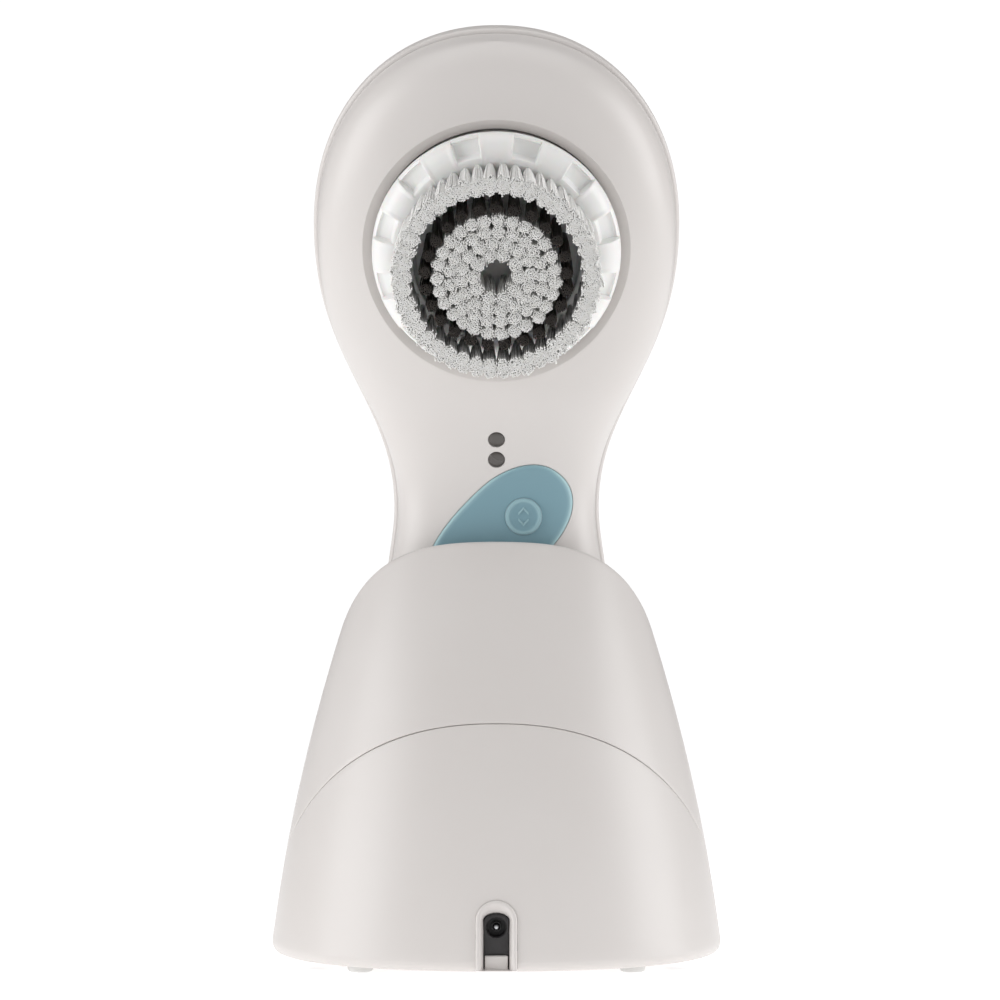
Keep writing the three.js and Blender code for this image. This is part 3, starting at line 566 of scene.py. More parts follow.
def to_head(points):
    """Part-frame points in the head's frame: x, along the head, along the brush axis."""
    return carried(points, HEAD.inverted())


def from_head(x, y, z):
    return carried(np.stack(np.broadcast_arrays(x, y, z), axis=-1), HEAD)


def under_opening(x, y, inset=0.0):
    """The s at which the front surface stands over the head frame's place (x, y)."""
    low, high = np.full(x.shape, 70.0), np.full(x.shape, HANDLE_LENGTH - 3)
    for _ in range(40):
        middle = (low + high) / 2
        past = to_head(place(middle, x, height(FRONT, x, middle, inset)))[..., 1] > y
        low, high = np.where(past, low, middle), np.where(past, middle, high)
    return (low + high) / 2


# ---------------------------------------------------------------- handle covers

OUTLINE_COUNT = 420


def edge_weighted(rows):
    """Shares of the way in from an edge, closer together at the edge."""
    u = np.linspace(0, 1, rows)
    return 0.12 * u * u + 0.88 * u ** 2.5


def cover_rows(side, rim, target, inset, rows):
    """Rings over one side's surface from its outline in to target, each an (x, s) pair."""
    (x0, s0), (x1, s1) = rim, target
    rings = []
    for share in edge_weighted(rows):
        x, s = x0 + (x1 - x0) * share, s0 + (s1 - s0) * share
        rings.append(place(s, x, height(side, x, s, inset)))
    return rings


def opening_ring(radius, turn, inset=0.0):
    """A ring round the head's axis on the front surface, or inset below it: (x, s)."""
    x, y = radius * np.cos(turn), radius * np.sin(turn)
    return x, under_opening(x, y, inset)


def build_front_cover():
    rim = outline(FRONT["inset"], OUTLINE_COUNT)
    inner_rim = outline(FRONT["inset"] + COVER_WALL, OUTLINE_COUNT)
    turn = np.arctan2(rim[1] - HEAD_S, rim[0])
    edge = opening_ring(OPENING_RADIUS, turn)
    face = to_head(place(edge[1], edge[0], height(FRONT, *edge)))[:, 2]
    rings = cover_rows(FRONT, rim, edge, 0.0, 90)
    lip = [(26.34, -0.02), (26.27, -0.08), (26.2, -0.17), (24.3, -1.75), (24.12, -1.95), (BORE_RADIUS, -2.3)]
    for radius, drop in lip:
        rings.append(from_head(radius * np.cos(turn), radius * np.sin(turn), face + drop))
    for radius, level in [(BORE_RADIUS, BORE_FLOOR), (BORE_WALL_RADIUS, BORE_FLOOR)]:
        rings.append(from_head(radius * np.cos(turn), radius * np.sin(turn), level))
    inner_edge = opening_ring(BORE_WALL_RADIUS, turn, COVER_WALL)
    rings += cover_rows(FRONT, inner_rim, inner_edge, COVER_WALL, 16)[::-1]
    rings.append(place(inner_rim[1], inner_rim[0], PARTING))
    outer = FRONT["inset"]
    for inset, h in [(1.2, PARTING), (1.15, SEAM), (outer + 0.09, SEAM), (outer, SEAM + 0.09)]:
        x, s = outline(inset, OUTLINE_COUNT)
        rings.append(place(s, x, h))
    cover = make("front_cover", ring_stack(rings, wrap=True))
    combine(cover, pad_pocket(), "DIFFERENCE")
    combine(cover, front_holes(), "DIFFERENCE")
    return dress(cover, "handle", "shell_plastic", "handle_front_cover")


def pad_ring(grow, share=1.0, count=180):
    """A ring of the pad's outline, grown outwards and then drawn towards its middle: (x, s)."""
    angle = np.arange(count) * 2 * math.pi / count
    along = (PAD["half_length"] + grow) * signed_power(np.sin(angle), 2 / PAD["power"]) * share
    wide = (PAD["half_width"] + grow) * (1 + PAD["swell"] * np.sin(angle))
    across = wide * signed_power(np.cos(angle), 2 / PAD["power"]) * share
    c, t = math.cos(PAD["turn"]), math.sin(PAD["turn"])
    return PAD["x"] + across * c - along * t, PAD["s"] + across * t + along * c


def pad_skin(grow, offset, share=1.0):
    """A ring of the pad's outline laid over the front surface, standing off it by offset."""
    x, s = pad_ring(grow, share)
    return place(s, x, height(FRONT, x, s, -offset))


def pad_pocket():
    """The hollow the pad lies in, a little wider and deeper than the pad."""
    shares = np.linspace(0, 1, 24)
    floor = [pad_skin(POCKET_GAP, -POCKET_DEPTH, share) for share in shares]
    lid = [pad_skin(POCKET_GAP, 2.5, share) for share in shares[::-1]]
    return make("pad_pocket", ring_stack(floor + lid), scratch=True)


def button_place(button):
    return GRIP @ Matrix.Translation((button["x"], button["s"], 0))


def front_holes():
    """The holes behind the two buttons and the holes for the two lenses."""
    buttons = [LEVEL_BUTTON, POWER_BUTTON]
    parts = [moved(rod(BUTTON_HOLE, 4, 12.1, 0), button_place(button)) for button in buttons]
    hole, mouth = LENS_RADIUS + 0.06, LENS_RADIUS + 0.2
    profile = [(0, -6), (hole, -6), (hole, -0.1), (mouth, 0.2), (mouth, 3), (0, 3)]
    parts += [moved(turned(profile, 64, False), surface_matrix(s)) for s in LENSES.values()]
    return make("front_holes", *parts, scratch=True)


def build_rear_cover():
    rim = outline(0.0, OUTLINE_COUNT)
    spine = np.zeros(OUTLINE_COUNT), np.clip(rim[1], 32, 150)
    inner_rim = outline(COVER_WALL, OUTLINE_COUNT)
    outer = cover_rows(REAR, rim, spine, 0.0, 70)
    edge = [
        (0.01, -0.84), (0.05, -0.7), (0.14, -0.54), (0.3, -0.38), (0.52, -0.25), (0.8, -0.17), (1.15, -SEAM),
        (1.2, -PARTING), (COVER_WALL, -PARTING),
    ]
    rings = outer[::-1]
    for inset, h in edge:
        x, s = outline(inset, OUTLINE_COUNT)
        rings.append(place(s, x, h))
    rings += cover_rows(REAR, inner_rim, spine, COVER_WALL, 16)
    return dress(make("rear_cover", ring_stack(rings)), "handle", "shell_plastic", "handle_rear_cover")


def build_seal():
    rings = []
    for inset, h in soften([(1.25, -0.42, 0.3), (2.15, -0.42, 0.1), (2.15, 0.42, 0.1), (1.25, 0.42, 0.3)]):
        x, s = outline(inset, 300)
        rings.append(place(s, x, h))
    return dress(make("cover_gasket", ring_stack(rings, wrap=True)), "handle", "seal_rubber", "cover_seal")


build_front_cover()
build_rear_cover()
build_seal()

# ---------------------------------------------------------------- pad, buttons and lenses


def paint(obj, share):
    """Stores how pale each point of a soft piece is, from its place in millimetres."""
    points = np.empty(len(obj.data.vertices) * 3)
    obj.data.vertices.foreach_get("co", points)
    pale = obj.data.attributes.new("pale", "FLOAT", "POINT")
    pale.data.foreach_set("value", share(points.reshape(-1, 3) / MM).astype(np.float32))
    return obj


def pad_edge_highlight(points):
    """How close points are to the pad's outline: 1 on it, 0 from a millimetre inside it; eight tenths of that
    is the share of painted highlight along the pad's edge.
    """
    x, s = points[:, 0] - PAD["x"], points[:, 2] - GRIP_FOOT_Z - PAD["s"]
    c, t = math.cos(PAD["turn"]), math.sin(PAD["turn"])
    across, along = x * c + s * t, -x * t + s * c
    rise = signed_power((along / PAD["half_length"]).clip(-1, 1), PAD["power"] / 2)
    wide = PAD["half_width"] * (1 + PAD["swell"] * rise)
    power = PAD["power"]
    size = (np.abs(along / PAD["half_length"]) ** power + np.abs(across / wide) ** power) ** (1 / power)
    inward = (1 - size) * np.hypot(across, along) / np.maximum(size, 1e-6)
    return 0.8 * (1 - smoothstep(0.1, 1.1, inward))


def build_pad():
    shares = np.linspace(0, 1, 26)
    rings = [pad_skin(0, -PAD_DEPTH, share) for share in shares]
    edge = [(0, -0.15), (-0.03, 0.08), (-0.14, 0.25), (-0.35, 0.38), (-0.7, 0.46), (-1.2, PAD_PROUD)]
    rings += [pad_skin(grow, offset) for grow, offset in edge]
    rings += [pad_skin(-1.2, PAD_PROUD, share) for share in shares[::-1][1:]]
    pad = make("button_pad_skin", ring_stack(rings))
    holes = []
    for button in (LEVEL_BUTTON, POWER_BUTTON):
        holes.append(moved(rod(button["radius"] + 0.04, 5, 16, 0, 96), button_place(button)))
    combine(pad, make("pad_cutters", *holes, scratch=True), "DIFFERENCE")
    # The pad's edge is painted paler here, a painted highlight.
    return dress(paint(pad, pad_edge_highlight), "handle", "pad_elastomer", "button_pad")


def chevron(reach, rise, stroke, low, high):
    """A raised arrow head pointing along +Y, its apex at the origin."""
    slope = rise / reach
    thick = stroke * math.hypot(1, slope)

    def arrow(inset, side, apex, notch):
        tip, heel = -rise - inset * 0.35, -rise - thick * 0.9 + inset * 0.6
        return soften([
            (-reach + inset, tip, side), (0, -inset * 1.3, apex), (reach - inset, tip, side),
            (reach - inset, heel, side), (0, -thick + inset * 1.1, notch), (-reach + inset, heel, side),
        ], steps=4)

    rim = arrow(0, 0.12, 0.05, 0.03)
    shoulder, top = arrow(0.06, 0.1, 0.04, 0.02), arrow(0.14, 0.1, 0.04, 0.02)
    spine = np.column_stack([top[:, 0], -np.abs(top[:, 0]) * slope - thick / 2])
    levels = [
        (spine, low), (rim, low), (rim, high - 0.1), (shoulder, high - 0.03), (top, high), (spine, high),
    ]
    return ring_stack([at_level(points, z) for points, z in levels])


def build_button(button, marks):
    name, radius, proud = button["name"], button["radius"], button["proud"]
    dish = proud - 0.22
    profile = [
        (0, -0.5), (radius, -0.5), (radius, proud - 0.3), (radius - 0.07, proud - 0.12),
        (radius - 0.22, proud - 0.02), (radius - 0.45, proud + 0.02), (radius - 0.68, proud - 0.02),
        (radius - 0.88, proud - 0.14), (radius - 1.05, dish), (radius - 1.4, dish),
        (radius * 0.4, dish + 0.02), (0, dish + 0.03),
    ]
    surface = float(height(FRONT, np.array(button["x"]), np.array(button["s"])))
    stand = GRIP @ Matrix.Translation((button["x"], button["s"], surface))
    parts = [moved(turned(profile, 96, False), stand)]
    parts += [moved(mark, stand) for mark in marks(dish)]

    def raised(points):
        """How pale the points are: not at all in the dish, a little on its ring and its marks."""
        return 0.42 * smoothstep(dish + 0.04, dish + 0.16, carried(points, stand.inverted())[:, 2])

    cap = paint(make(f"{name}_button_cap", *parts), raised)
    return dress(cap, f"{name}_key", "pad_elastomer", f"{name}_button")


def level_marks(dish):
    up = chevron(1.03, 1.1, 0.42, dish - 0.1, dish + 0.22)
    flip = Matrix.Rotation(math.pi, 4, "Z")
    return [moved(up, Matrix.Translation((0, 1.95, 0))), moved(up, Matrix.Translation((0, -1.95, 0)) @ flip)]


def power_marks(dish):
    sweep = np.linspace(math.radians(125), math.radians(415), 40)
    line = [np.array([1.5 * math.cos(a), 1.5 * math.sin(a), dish]) for a in sweep]
    stem = [np.array([0, 0.3 + 0.1 * k, dish]) for k in range(17)]
    return [cord(line, 0.2), cord(stem, 0.2)]


def cord(line, radius, sides=10):
    """A round bar with rounded ends along a line of points that lies at one height."""
    line = np.array(line)
    ahead = np.gradient(line, axis=0)
    ahead /= np.linalg.norm(ahead, axis=1, keepdims=True)
    across = np.column_stack([-ahead[:, 1], ahead[:, 0], np.zeros(len(line))])
    angle = np.arange(sides) * 2 * math.pi / sides
    up = np.array([0, 0, 1])
    middle = [(i, 0, 1) for i in range(len(line))]
    rings = []
    for i, push, size in [(0, -1.0, 0.02), (0, -0.7, 0.7), *middle, (-1, 0.7, 0.7), (-1, 1.0, 0.02)]:
        centre = line[i] + ahead[i] * push * radius
        rings.append([centre + (across[i] * math.cos(a) + up * math.sin(a)) * radius * size for a in angle])
    first, last = line[0] - ahead[0] * radius, line[-1] + ahead[-1] * radius
    return ring_stack([np.broadcast_to(first, (sides, 3)), *rings, np.broadcast_to(last, (sides, 3))])


def build_lenses():
    dome = [(0, -3.6), (LENS_RADIUS, -3.6), (LENS_RADIUS, -0.15)]
    for turn in np.linspace(0, math.pi / 2, 12):
        reach = (LENS_RADIUS - 0.03) * math.cos(turn)
        dome.append((reach, -0.12 + 0.42 * math.sin(turn)))
    for name, s in LENSES.items():
        lens = make(f"lens_{name}", moved(turned(dome, 72, False), surface_matrix(s)))
        dress(lens, "handle", "lens_plastic", f"led_lens_{name}")


build_pad()
build_button(LEVEL_BUTTON, level_marks)
build_button(POWER_BUTTON, power_marks)
build_lenses()

# ---------------------------------------------------------------- dock

DOCK_COUNT = 360
DOCK_ANGLE = np.arange(DOCK_COUNT) * 2 * math.pi / DOCK_COUNT


def dock_size(z):
    """Half the dock's width at height z, and the y of its front and of its back."""
    q = np.maximum(z - 4, 0)
    half = 45.3 - 0.115 * z - 0.0015 * z * z
    return half, -40 + 0.15 * q + 0.00328 * q * q, 40 - 0.05 * q - 0.00094 * q * q


def dock_point(z, inset, angle=DOCK_ANGLE):
    """A ring on the dock's outer wall drawn in by inset; z is one height or one for each angle."""
    z = np.broadcast_to(np.asarray(z, float), angle.shape)
    half, front, back = dock_size(z)
    x = (half - inset) * signed_power(np.cos(angle), 2 / DOCK_POWER)
    y = (front + back) / 2 + ((back - front) / 2 - inset) * signed_power(np.sin(angle), 2 / DOCK_POWER)
    return np.stack([x, y, z], axis=-1)


def dock_front_y(x, z):
    half, front, back = dock_size(z)
    return (front + back) / 2 - (back - front) / 2 * round_end(x / half, DOCK_POWER)


def curve_height(curve, y):
    """Height of a surface that runs straight along X over a curve of (y, z) points."""
    (y0, z0), (y1, z1) = curve[:2]
    line = bezier(curve)
    ys = np.concatenate([[-60], line[:, 0], [60]])
    zs = np.concatenate([[z0 + (y0 + 60) * (z1 - z0) / (y0 - y1)], line[:, 1], [line[-1, 1]]])
    return np.interp(y, ys, zs)


def meeting(curve, inset, shift=0.0):
    """The height at which each column of the dock's wall meets a curve's surface, moved up by shift."""
    low, high = np.full(DOCK_COUNT, 0.0), np.full(DOCK_COUNT, 95.0)
    for _ in range(40):
        middle = (low + high) / 2
        above = middle > curve_height(curve, dock_point(middle, inset)[:, 1]) + shift
        low, high = np.where(above, low, middle), np.where(above, middle, high)
    return (low + high) / 2


def grip_loop(z, grow, angle):
    """A section of the grip's outer surface, grown outwards, at height z: points at each angle."""
    s = np.minimum(np.asarray(z, float) - GRIP_FOOT_Z, GRIP_S)
    cos, sin = np.cos(angle), np.sin(angle)
    points = []
    for side in (FRONT, REAR):
        power = 2 / side["grip_power"]
        tall = (side["grip"] + grow) * round_end((GRIP_S - s) / (GRIP_S + grow), 4)
        flank = np.minimum(FLANK, tall / 2)
        x = half_width(s, -grow) * signed_power(cos, power)
        points.append((x, flank + (tall - flank) * np.abs(sin) ** power))
    front = sin >= 0
    x = np.where(front, points[0][0], points[1][0])
    h = np.where(front, points[0][1], -points[1][1])
    return np.stack(np.broadcast_arrays(x, GRIP_FOOT_Y - h, z), axis=-1)


def rim_loop(grow, angle):
    """Where the grip's form, grown outwards, comes through the deck."""
    loop = grip_loop(np.full(angle.shape, 80.0), grow, angle)
    for _ in range(6):
        loop = grip_loop(curve_height(RIM_CURVE, loop[:, 1]), grow, angle)
    return loop


MOUTH_MIDDLE = np.array([0.0, 11.0])


def mouth_ring(grow, columns):
    """Where the well's wall comes through the deck, one point on the way in from each rim column."""
    angle = np.linspace(-math.pi, math.pi, 1441)
    out = rim_loop(grow, angle)[:, :2] - MOUTH_MIDDLE
    bearing = np.arctan2(out[:, 1], out[:, 0])
    order = np.argsort(bearing)
    wanted = columns[:, :2] - MOUTH_MIDDLE
    wanted = np.arctan2(wanted[:, 1], wanted[:, 0])
    reach = np.interp(wanted, bearing[order], np.hypot(*out.T)[order], period=2 * math.pi)
    xy = MOUTH_MIDDLE + np.column_stack([reach * np.cos(wanted), reach * np.sin(wanted)])
    return np.column_stack([xy, curve_height(RIM_CURVE, xy[:, 1])])


def deck_point(start, end, share, drop=0.0):
    """A ring on the deck, part of the way from one ring to another."""
    xy = start[:, :2] + (end[:, :2] - start[:, :2]) * share
    return np.column_stack([xy, curve_height(RIM_CURVE, xy[:, 1]) - drop])


def rounded_corner(before, corner, after, steps=6):
    t = np.linspace(0, 1, steps)[:, None, None]
    return list((1 - t) ** 2 * before + 2 * t * (1 - t) * corner + t * t * after)


def build_upper_shell():
    gap, lip, tongue = 0.07, 0.3, 1.5
    foot, rim = meeting(PARTING_CURVE, 0, gap), meeting(RIM_CURVE, 0)
    corner = dock_point(rim, 0)
    mouth = mouth_ring(WELL_CLEARANCE + LINER_WALL + 0.2, corner)
    span = np.hypot(*(mouth - corner)[:, :2].T)[:, None]
    rings = [dock_point(foot, 1.15), dock_point(foot, lip)]
    rings += rounded_corner(dock_point(foot, lip), dock_point(foot, 0), dock_point(foot + lip, 0), 5)[1:]
    edge = 1.3
    for share in np.linspace(0, 1, 46)[1:-1]:
        rings.append(dock_point(foot + lip + (rim - edge - foot - lip) * share, 0))
    rings += rounded_corner(dock_point(rim - edge, 0), corner, deck_point(corner, mouth, edge / span), 8)
    for share in np.linspace(0, 1, 16)[1:-1]:
        rings.append(deck_point(corner, mouth, (edge + (span - edge - 0.4) * share) / span))
    rings += rounded_corner(deck_point(corner, mouth, (span - 0.4) / span), mouth, mouth - [0, 0, 0.4], 4)
    rings.append(mouth - [0, 0, DOCK_WALL])
    inner_rim = meeting(RIM_CURVE, DOCK_WALL, -DOCK_WALL)
    inner_corner = dock_point(inner_rim, DOCK_WALL)
    for share in np.linspace(1, 0, 6)[1:]:
        rings.append(deck_point(inner_corner, mouth, share, DOCK_WALL))
    inner_foot = meeting(PARTING_CURVE, DOCK_WALL, -tongue)
    for share in np.linspace(0, 1, 10)[1:]:
        rings.append(dock_point(inner_rim + (inner_foot - inner_rim) * share, DOCK_WALL))
    rings.append(dock_point(inner_foot, 1.15))
    shell = make("dock_upper", ring_stack(rings, wrap=True))
    return dress(shell, "dock", "shell_plastic", "dock_upper_shell")


def corner_places(place):
    """A place under the dock, mirrored into its four corners."""
    return [Matrix.Translation((sx * place[0], sy * place[1], 0)) for sx, sy in CORNERS]


def bottom_inset(z):
    """How far the dock's side draws in over its rounded bottom edge."""
    rise = np.clip(1 - (z - SHELL_FOOT) / 2.2, 0, 1)
    return 1.6 * (1 - np.sqrt(1 - rise * rise))


def build_base_shell():
    gap, lip, rabbet = 0.07, 0.3, 1.8
    top = meeting(PARTING_CURVE, 0, -gap)
    rings = []
    for z in SHELL_FOOT + 2.2 * (1 - np.cos(np.linspace(0, math.pi / 2, 9))):
        rings.append(dock_point(z, bottom_inset(z)))
    for share in np.linspace(0, 1, 30)[1:]:
        rings.append(dock_point(4.2 + (top - lip - 4.2) * share, 0))
    rings += rounded_corner(dock_point(top - lip, 0), dock_point(top, 0), dock_point(top, lip), 5)[1:]
    rings.append(dock_point(top, 1.05))
    ledge = meeting(PARTING_CURVE, DOCK_WALL, -rabbet)
    rings += [dock_point(ledge, 1.05), dock_point(ledge, DOCK_WALL)]
    for share in np.linspace(0, 1, 10)[1:]:
        rings.append(dock_point(ledge + (SHELL_FOOT - ledge) * share, DOCK_WALL))
    shell = make("dock_base", ring_stack(rings, wrap=True))
    boss = turned([(1.6, 4.3), (3.4, 4.3), (3.4, 8.4), (3.2, 8.6), (1.6, 8.6)], 40)
    bosses = [moved(boss, stand) for stand in corner_places(BOSS_PLACE)]
    combine(shell, make("bosses", *bosses, scratch=True), "UNION")
    combine(shell, jack_cutter(0.02), "DIFFERENCE")
    return dress(shell, "dock", "shell_plastic", "dock_base_shell")


JACK_Z = 10.4
JACK_HALF, JACK_TOP, JACK_FOOT = 4.05, 15.7, 2.6
JACK_BACK = -34.5


def arch_loop(half, foot, top, rise):
    """A closed loop in X and Z: a flat foot, straight sides and a round head of the given rise."""
    head = np.linspace(0, math.pi, 41)
    sides = np.linspace(0, 1, 13)[:-1]
    shoulder = top - rise
    right = [(half, foot + (shoulder - foot) * share) for share in sides]
    arch = [(half * math.cos(a), shoulder + rise * math.sin(a)) for a in head]
    left = [(-half, shoulder + (foot - shoulder) * share) for share in sides[1:]]
    bottom = [(-half + 2 * half * share, foot) for share in np.linspace(0, 1, 9)[:-1]]
    return np.array(right + arch + left + bottom)


def arch_ring(half, foot, top, rise, out=None, y=None):
    """An arch loop laid on the dock's front, standing out from it, or upright at one y."""
    loop = arch_loop(half, foot, top, rise)
    depth = np.full(len(loop), y) if out is None else dock_front_y(loop[:, 0], loop[:, 1]) - out
    return np.column_stack([loop[:, 0], depth, loop[:, 1]])


def jack_cutter(grow):
    """The hole through the dock's front that the socket's surround fills."""
    half = JACK_HALF + grow
    rings = [arch_ring(half, JACK_FOOT - 3, JACK_TOP + grow, half, y=y) for y in (-46, JACK_BACK)]
    return make("jack_cutter", capped(rings), scratch=True)


def build_bezel():
    """The raised surround of the socket, and the small upstand in its foot."""
    profile = [                        # half width, top, rise of the arch, how far it stands out
        (4.03, 15.68, 4.03, -2.2), (4.03, 15.68, 4.03, -0.05), (4.01, 15.66, 4.01, 0.2),
        (3.92, 15.56, 3.92, 0.38), (3.74, 15.37, 3.74, 0.5), (3.5, 15.13, 3.5, 0.52),
        (3.28, 14.88, 3.22, 0.46), (3.08, 14.6, 2.95, 0.28), (2.92, 14.24, 2.6, 0.0),
        (2.78, 13.83, 2.2, -0.36), (2.67, 13.47, 1.8, -0.75), (2.58, 13.22, 1.5, -1.05),
        (2.5, 13.1, 1.35, -1.35),
    ]
    rings = []
    for i, (half, top, rise, out) in enumerate(profile):
        rings.append(arch_ring(half, 2.25 + 0.02 * i, top, rise, out))
    rings += [arch_ring(2.5, 2.5, 13.1, 1.35, y=JACK_BACK), arch_ring(4.03, 2.25, 15.68, 4.03, y=JACK_BACK)]
    bezel = make("jack_surround", ring_stack(rings, wrap=True))
    half, top = 2.22, 5.05
    block = soften([(-half, 2.2), (half, 2.2), (half, top, 0.25), (-half, top, 0.25)])
    rings = []
    for y, inset in [(-38.9, 0.3), (-38.8, 0.1), (-38.6, 0.0), (-36.0, 0.0)]:
        x, z = block[:, 0] * (1 - inset / half), block[:, 1] - inset * (block[:, 1] > 3)
        rings.append(np.column_stack([x, np.full(len(block), y), z]))
    combine(bezel, make("upstand", capped(rings), scratch=True), "UNION")
    return dress(bezel, "dock", "shell_plastic", "jack_bezel")


def build_jack():
    face, back = -37.7, -30.6
    rings = []
    for y, shrink in [(face, 0.18), (face + 0.05, 0.05), (face + 0.2, 0.0), (back, 0.0)]:
        rings.append(arch_ring(2.42 - shrink, 2.8 + shrink, 13.02 - shrink, 1.3, y=y))
    body = make("jack_body", capped(rings))
    ahead = Matrix.Translation((0, 0, JACK_Z)) @ Matrix.Rotation(math.pi / 2, 4, "X")
    mouth = -face
    bore = [
        (0, 34.6), (1.84, 34.6), (1.84, mouth - 0.35),
        (2.06, mouth - 0.05), (2.06, mouth + 1), (0, mouth + 1),
    ]
    combine(body, make("jack_bore", moved(turned(bore, 64, False), ahead), scratch=True), "DIFFERENCE")
    dress(body, "dock", "black_plastic", "jack_housing")
    pin = [(0, 34.7), (0.55, 34.7), (0.55, 36.6), (0.5, 36.85), (0.36, 37.0), (0.2, 37.05), (0, 37.06)]
    dress(make("jack_contact", moved(turned(pin, 32, False), ahead)), "dock", "steel", "jack_pin")
    sleeve = soften([(0.72, 34.7), (1.0, 34.7), (1.0, 35.9, 0.1), (0.72, 35.9, 0.1)])
    dress(make("jack_sleeve", moved(turned(sleeve, 48), ahead)), "dock", "black_plastic")


def build_bottom():
    """The plate under the dock, with a groove round each rubber foot and a counterbore for each screw."""
    rings = []
    for rise, inset in [(0.05, 0.35), (0.12, 0.1), (0.35, 0.0), (2, 0.0)]:
        rings.append(dock_point(4.0, DOCK_WALL + 0.2 + inset) * [1, 1, 0] + [0, 0, SHELL_FOOT + rise])
    plate = make("bottom_plate", capped(rings))
    groove = FOOT_RADIUS + 0.15
    moat = turned([(groove, 1), (3.2, 1), (3.2, 2.35), (groove, 2.35)], 48)
    counterbore = turned([(0, 0), (2.65, 0), (2.65, 3.02), (1.6, 3.02), (1.6, 6), (0, 6)], 48, False)
    cutters = []
    for screw_place, foot_place in zip(corner_places(BOSS_PLACE), corner_places(FOOT_PLACE)):
        cutters += [moved(counterbore, screw_place), moved(moat, foot_place)]
    combine(plate, make("plate_cutters", *cutters, scratch=True), "DIFFERENCE")
    combine(plate, jack_cutter(0.02), "DIFFERENCE")
    dress(plate, "dock", "shell_plastic", "dock_bottom_plate")
    foot = soften(
        [(0, 0), (2.35, 0, 0.5), (FOOT_RADIUS, 1.0, 0.3), (FOOT_RADIUS, 1.95), (0, 1.95)], closed=False,
    )
    pairs = zip(corner_places(FOOT_PLACE), corner_places(BOSS_PLACE))
    for i, (foot_place, screw_place) in enumerate(pairs, start=1):
        rubber = make(f"rubber_foot_{i}", moved(turned(foot, 64, False), foot_place))
        dress(rubber, "dock", "foot_rubber", f"dock_foot_{i}")
        build_screw(f"dock_screw_{i}", screw_place, 2.4, 1.3, 2.05, 3.0, 7.3, "dock")


def build_screw(node, stand, head, shank, low, seat, end, body):
    """A pan-head screw along +Z with a cross recess in its head, threads as fine rings on its shank."""
    profile = [
        (0, low), (head * 0.7, low + 0.02), (head * 0.93, low + 0.22),
        (head, low + 0.55), (head, seat), (shank, seat),
    ]
    pitch = 0.55
    turns = int((end - seat - 0.6) / pitch)
    for i in range(turns):
        z = seat + 0.25 + pitch * i
        profile += [(shank * 0.86, z), (shank, z + pitch / 2)]
    profile += [(shank * 0.8, end - 0.35), (0, end)]
    screw = make(f"{node}_fastener", moved(turned(profile, 40, False), stand))
    bars = [(head * 0.58, head * 0.15), (head * 0.15, head * 0.58)]
    for hx, hy in bars:
        corners = soften([(hx, hy, 0.08), (-hx, hy, 0.08), (-hx, -hy, 0.08), (hx, -hy, 0.08)], steps=3)
        cutter = make("recess", moved(slab(corners, low - 0.6, low + 0.75, 0.02), stand), scratch=True)
        combine(screw, cutter, "DIFFERENCE")
    return dress(screw, body, "steel", node)


def build_liner():
    """The cup that the grip stands in, its wall following the grip at a small clearance."""
    angle = np.arange(160) * 2 * math.pi / 160
    inner, outer = WELL_CLEARANCE, WELL_CLEARANCE + LINER_WALL

    def wall(grow):
        foot = GRIP_FOOT_Z - grow
        top = rim_loop(grow, angle)[:, 2] - 0.55
        rings = [grip_loop(np.full(angle.shape, foot + 1e-6), grow, angle)]
        for share in (1 - np.cos(np.linspace(0, math.pi / 2, 40)[1:])):
            rings.append(grip_loop(foot + (top - foot) * share, grow, angle))
        return rings

    lip = [(0.0, -0.55), (0.0, 0.0, 0.45), (LINER_WALL, 0.0, 0.55), (LINER_WALL, -0.55)]
    rim = []
    for inward, rise in soften(lip, closed=False)[1:-1]:
        grow = outer - inward
        rim.append(grip_loop(rim_loop(grow, angle)[:, 2] + rise - 0.02, grow, angle))
    liner = make("well_cup", ring_stack([*wall(outer), *rim, *wall(inner)[::-1]]))
    return dress(liner, "dock", "shell_plastic", "well_liner")


build_upper_shell()
build_base_shell()
build_bezel()
build_jack()
build_bottom()
build_liner()

# ---------------------------------------------------------------- brush head

NOTCHES = 12
NOTCH_HALF = math.radians(6.7)
RIM_INNER, RIM_TOP = 20.4, 17.0        # the collar's shoulder rounds over from here to its rim
NOTCH_STEPS = [
    (20.32, 21.03), (20.44, 20.98), (20.54, 20.8), (20.64, 20.3), (20.72, 19.6), (20.82, 19.0),
    (20.95, 18.66), (21.3, 18.45), (21.9, 18.2), (22.6, 17.85), (23.2, 17.6), (23.55, 17.62),
    (23.85, 17.85), (24.25, 17.5),
]
SKIRT = [
    (COLLAR_RADIUS, 16.7), (24.38, 16.5), (23.5, 14.7), (23.5, 14.3), (23.5, 9.3), (23.3, 9.0), (22.2, 9.0),
    (22.2, 16.4), (18.4, 16.4), (18.4, 18.0), (16.8, 18.0),
]


def collar_angles():
    """Angles round the collar, closer together at the side walls of its notches."""
    half = np.degrees(NOTCH_HALF)
    walls = half + np.array([-0.75, -0.5, -0.3, -0.1, 0.1, 0.3, 0.5, 0.75, 1.1, 1.6, 2.2])
    side = np.concatenate([np.linspace(0, half - 1.1, 7), walls, np.linspace(half + 2.9, 15, 6)[:-1]])
    sector = np.concatenate([-side[:0:-1], side])
    turns = []
    for i in range(NOTCHES):
        turns.append(np.append(15 + 360 / NOTCHES * i + sector, 15 + 360 / NOTCHES * (i + 0.5)))
    return np.radians(np.concatenate(turns))


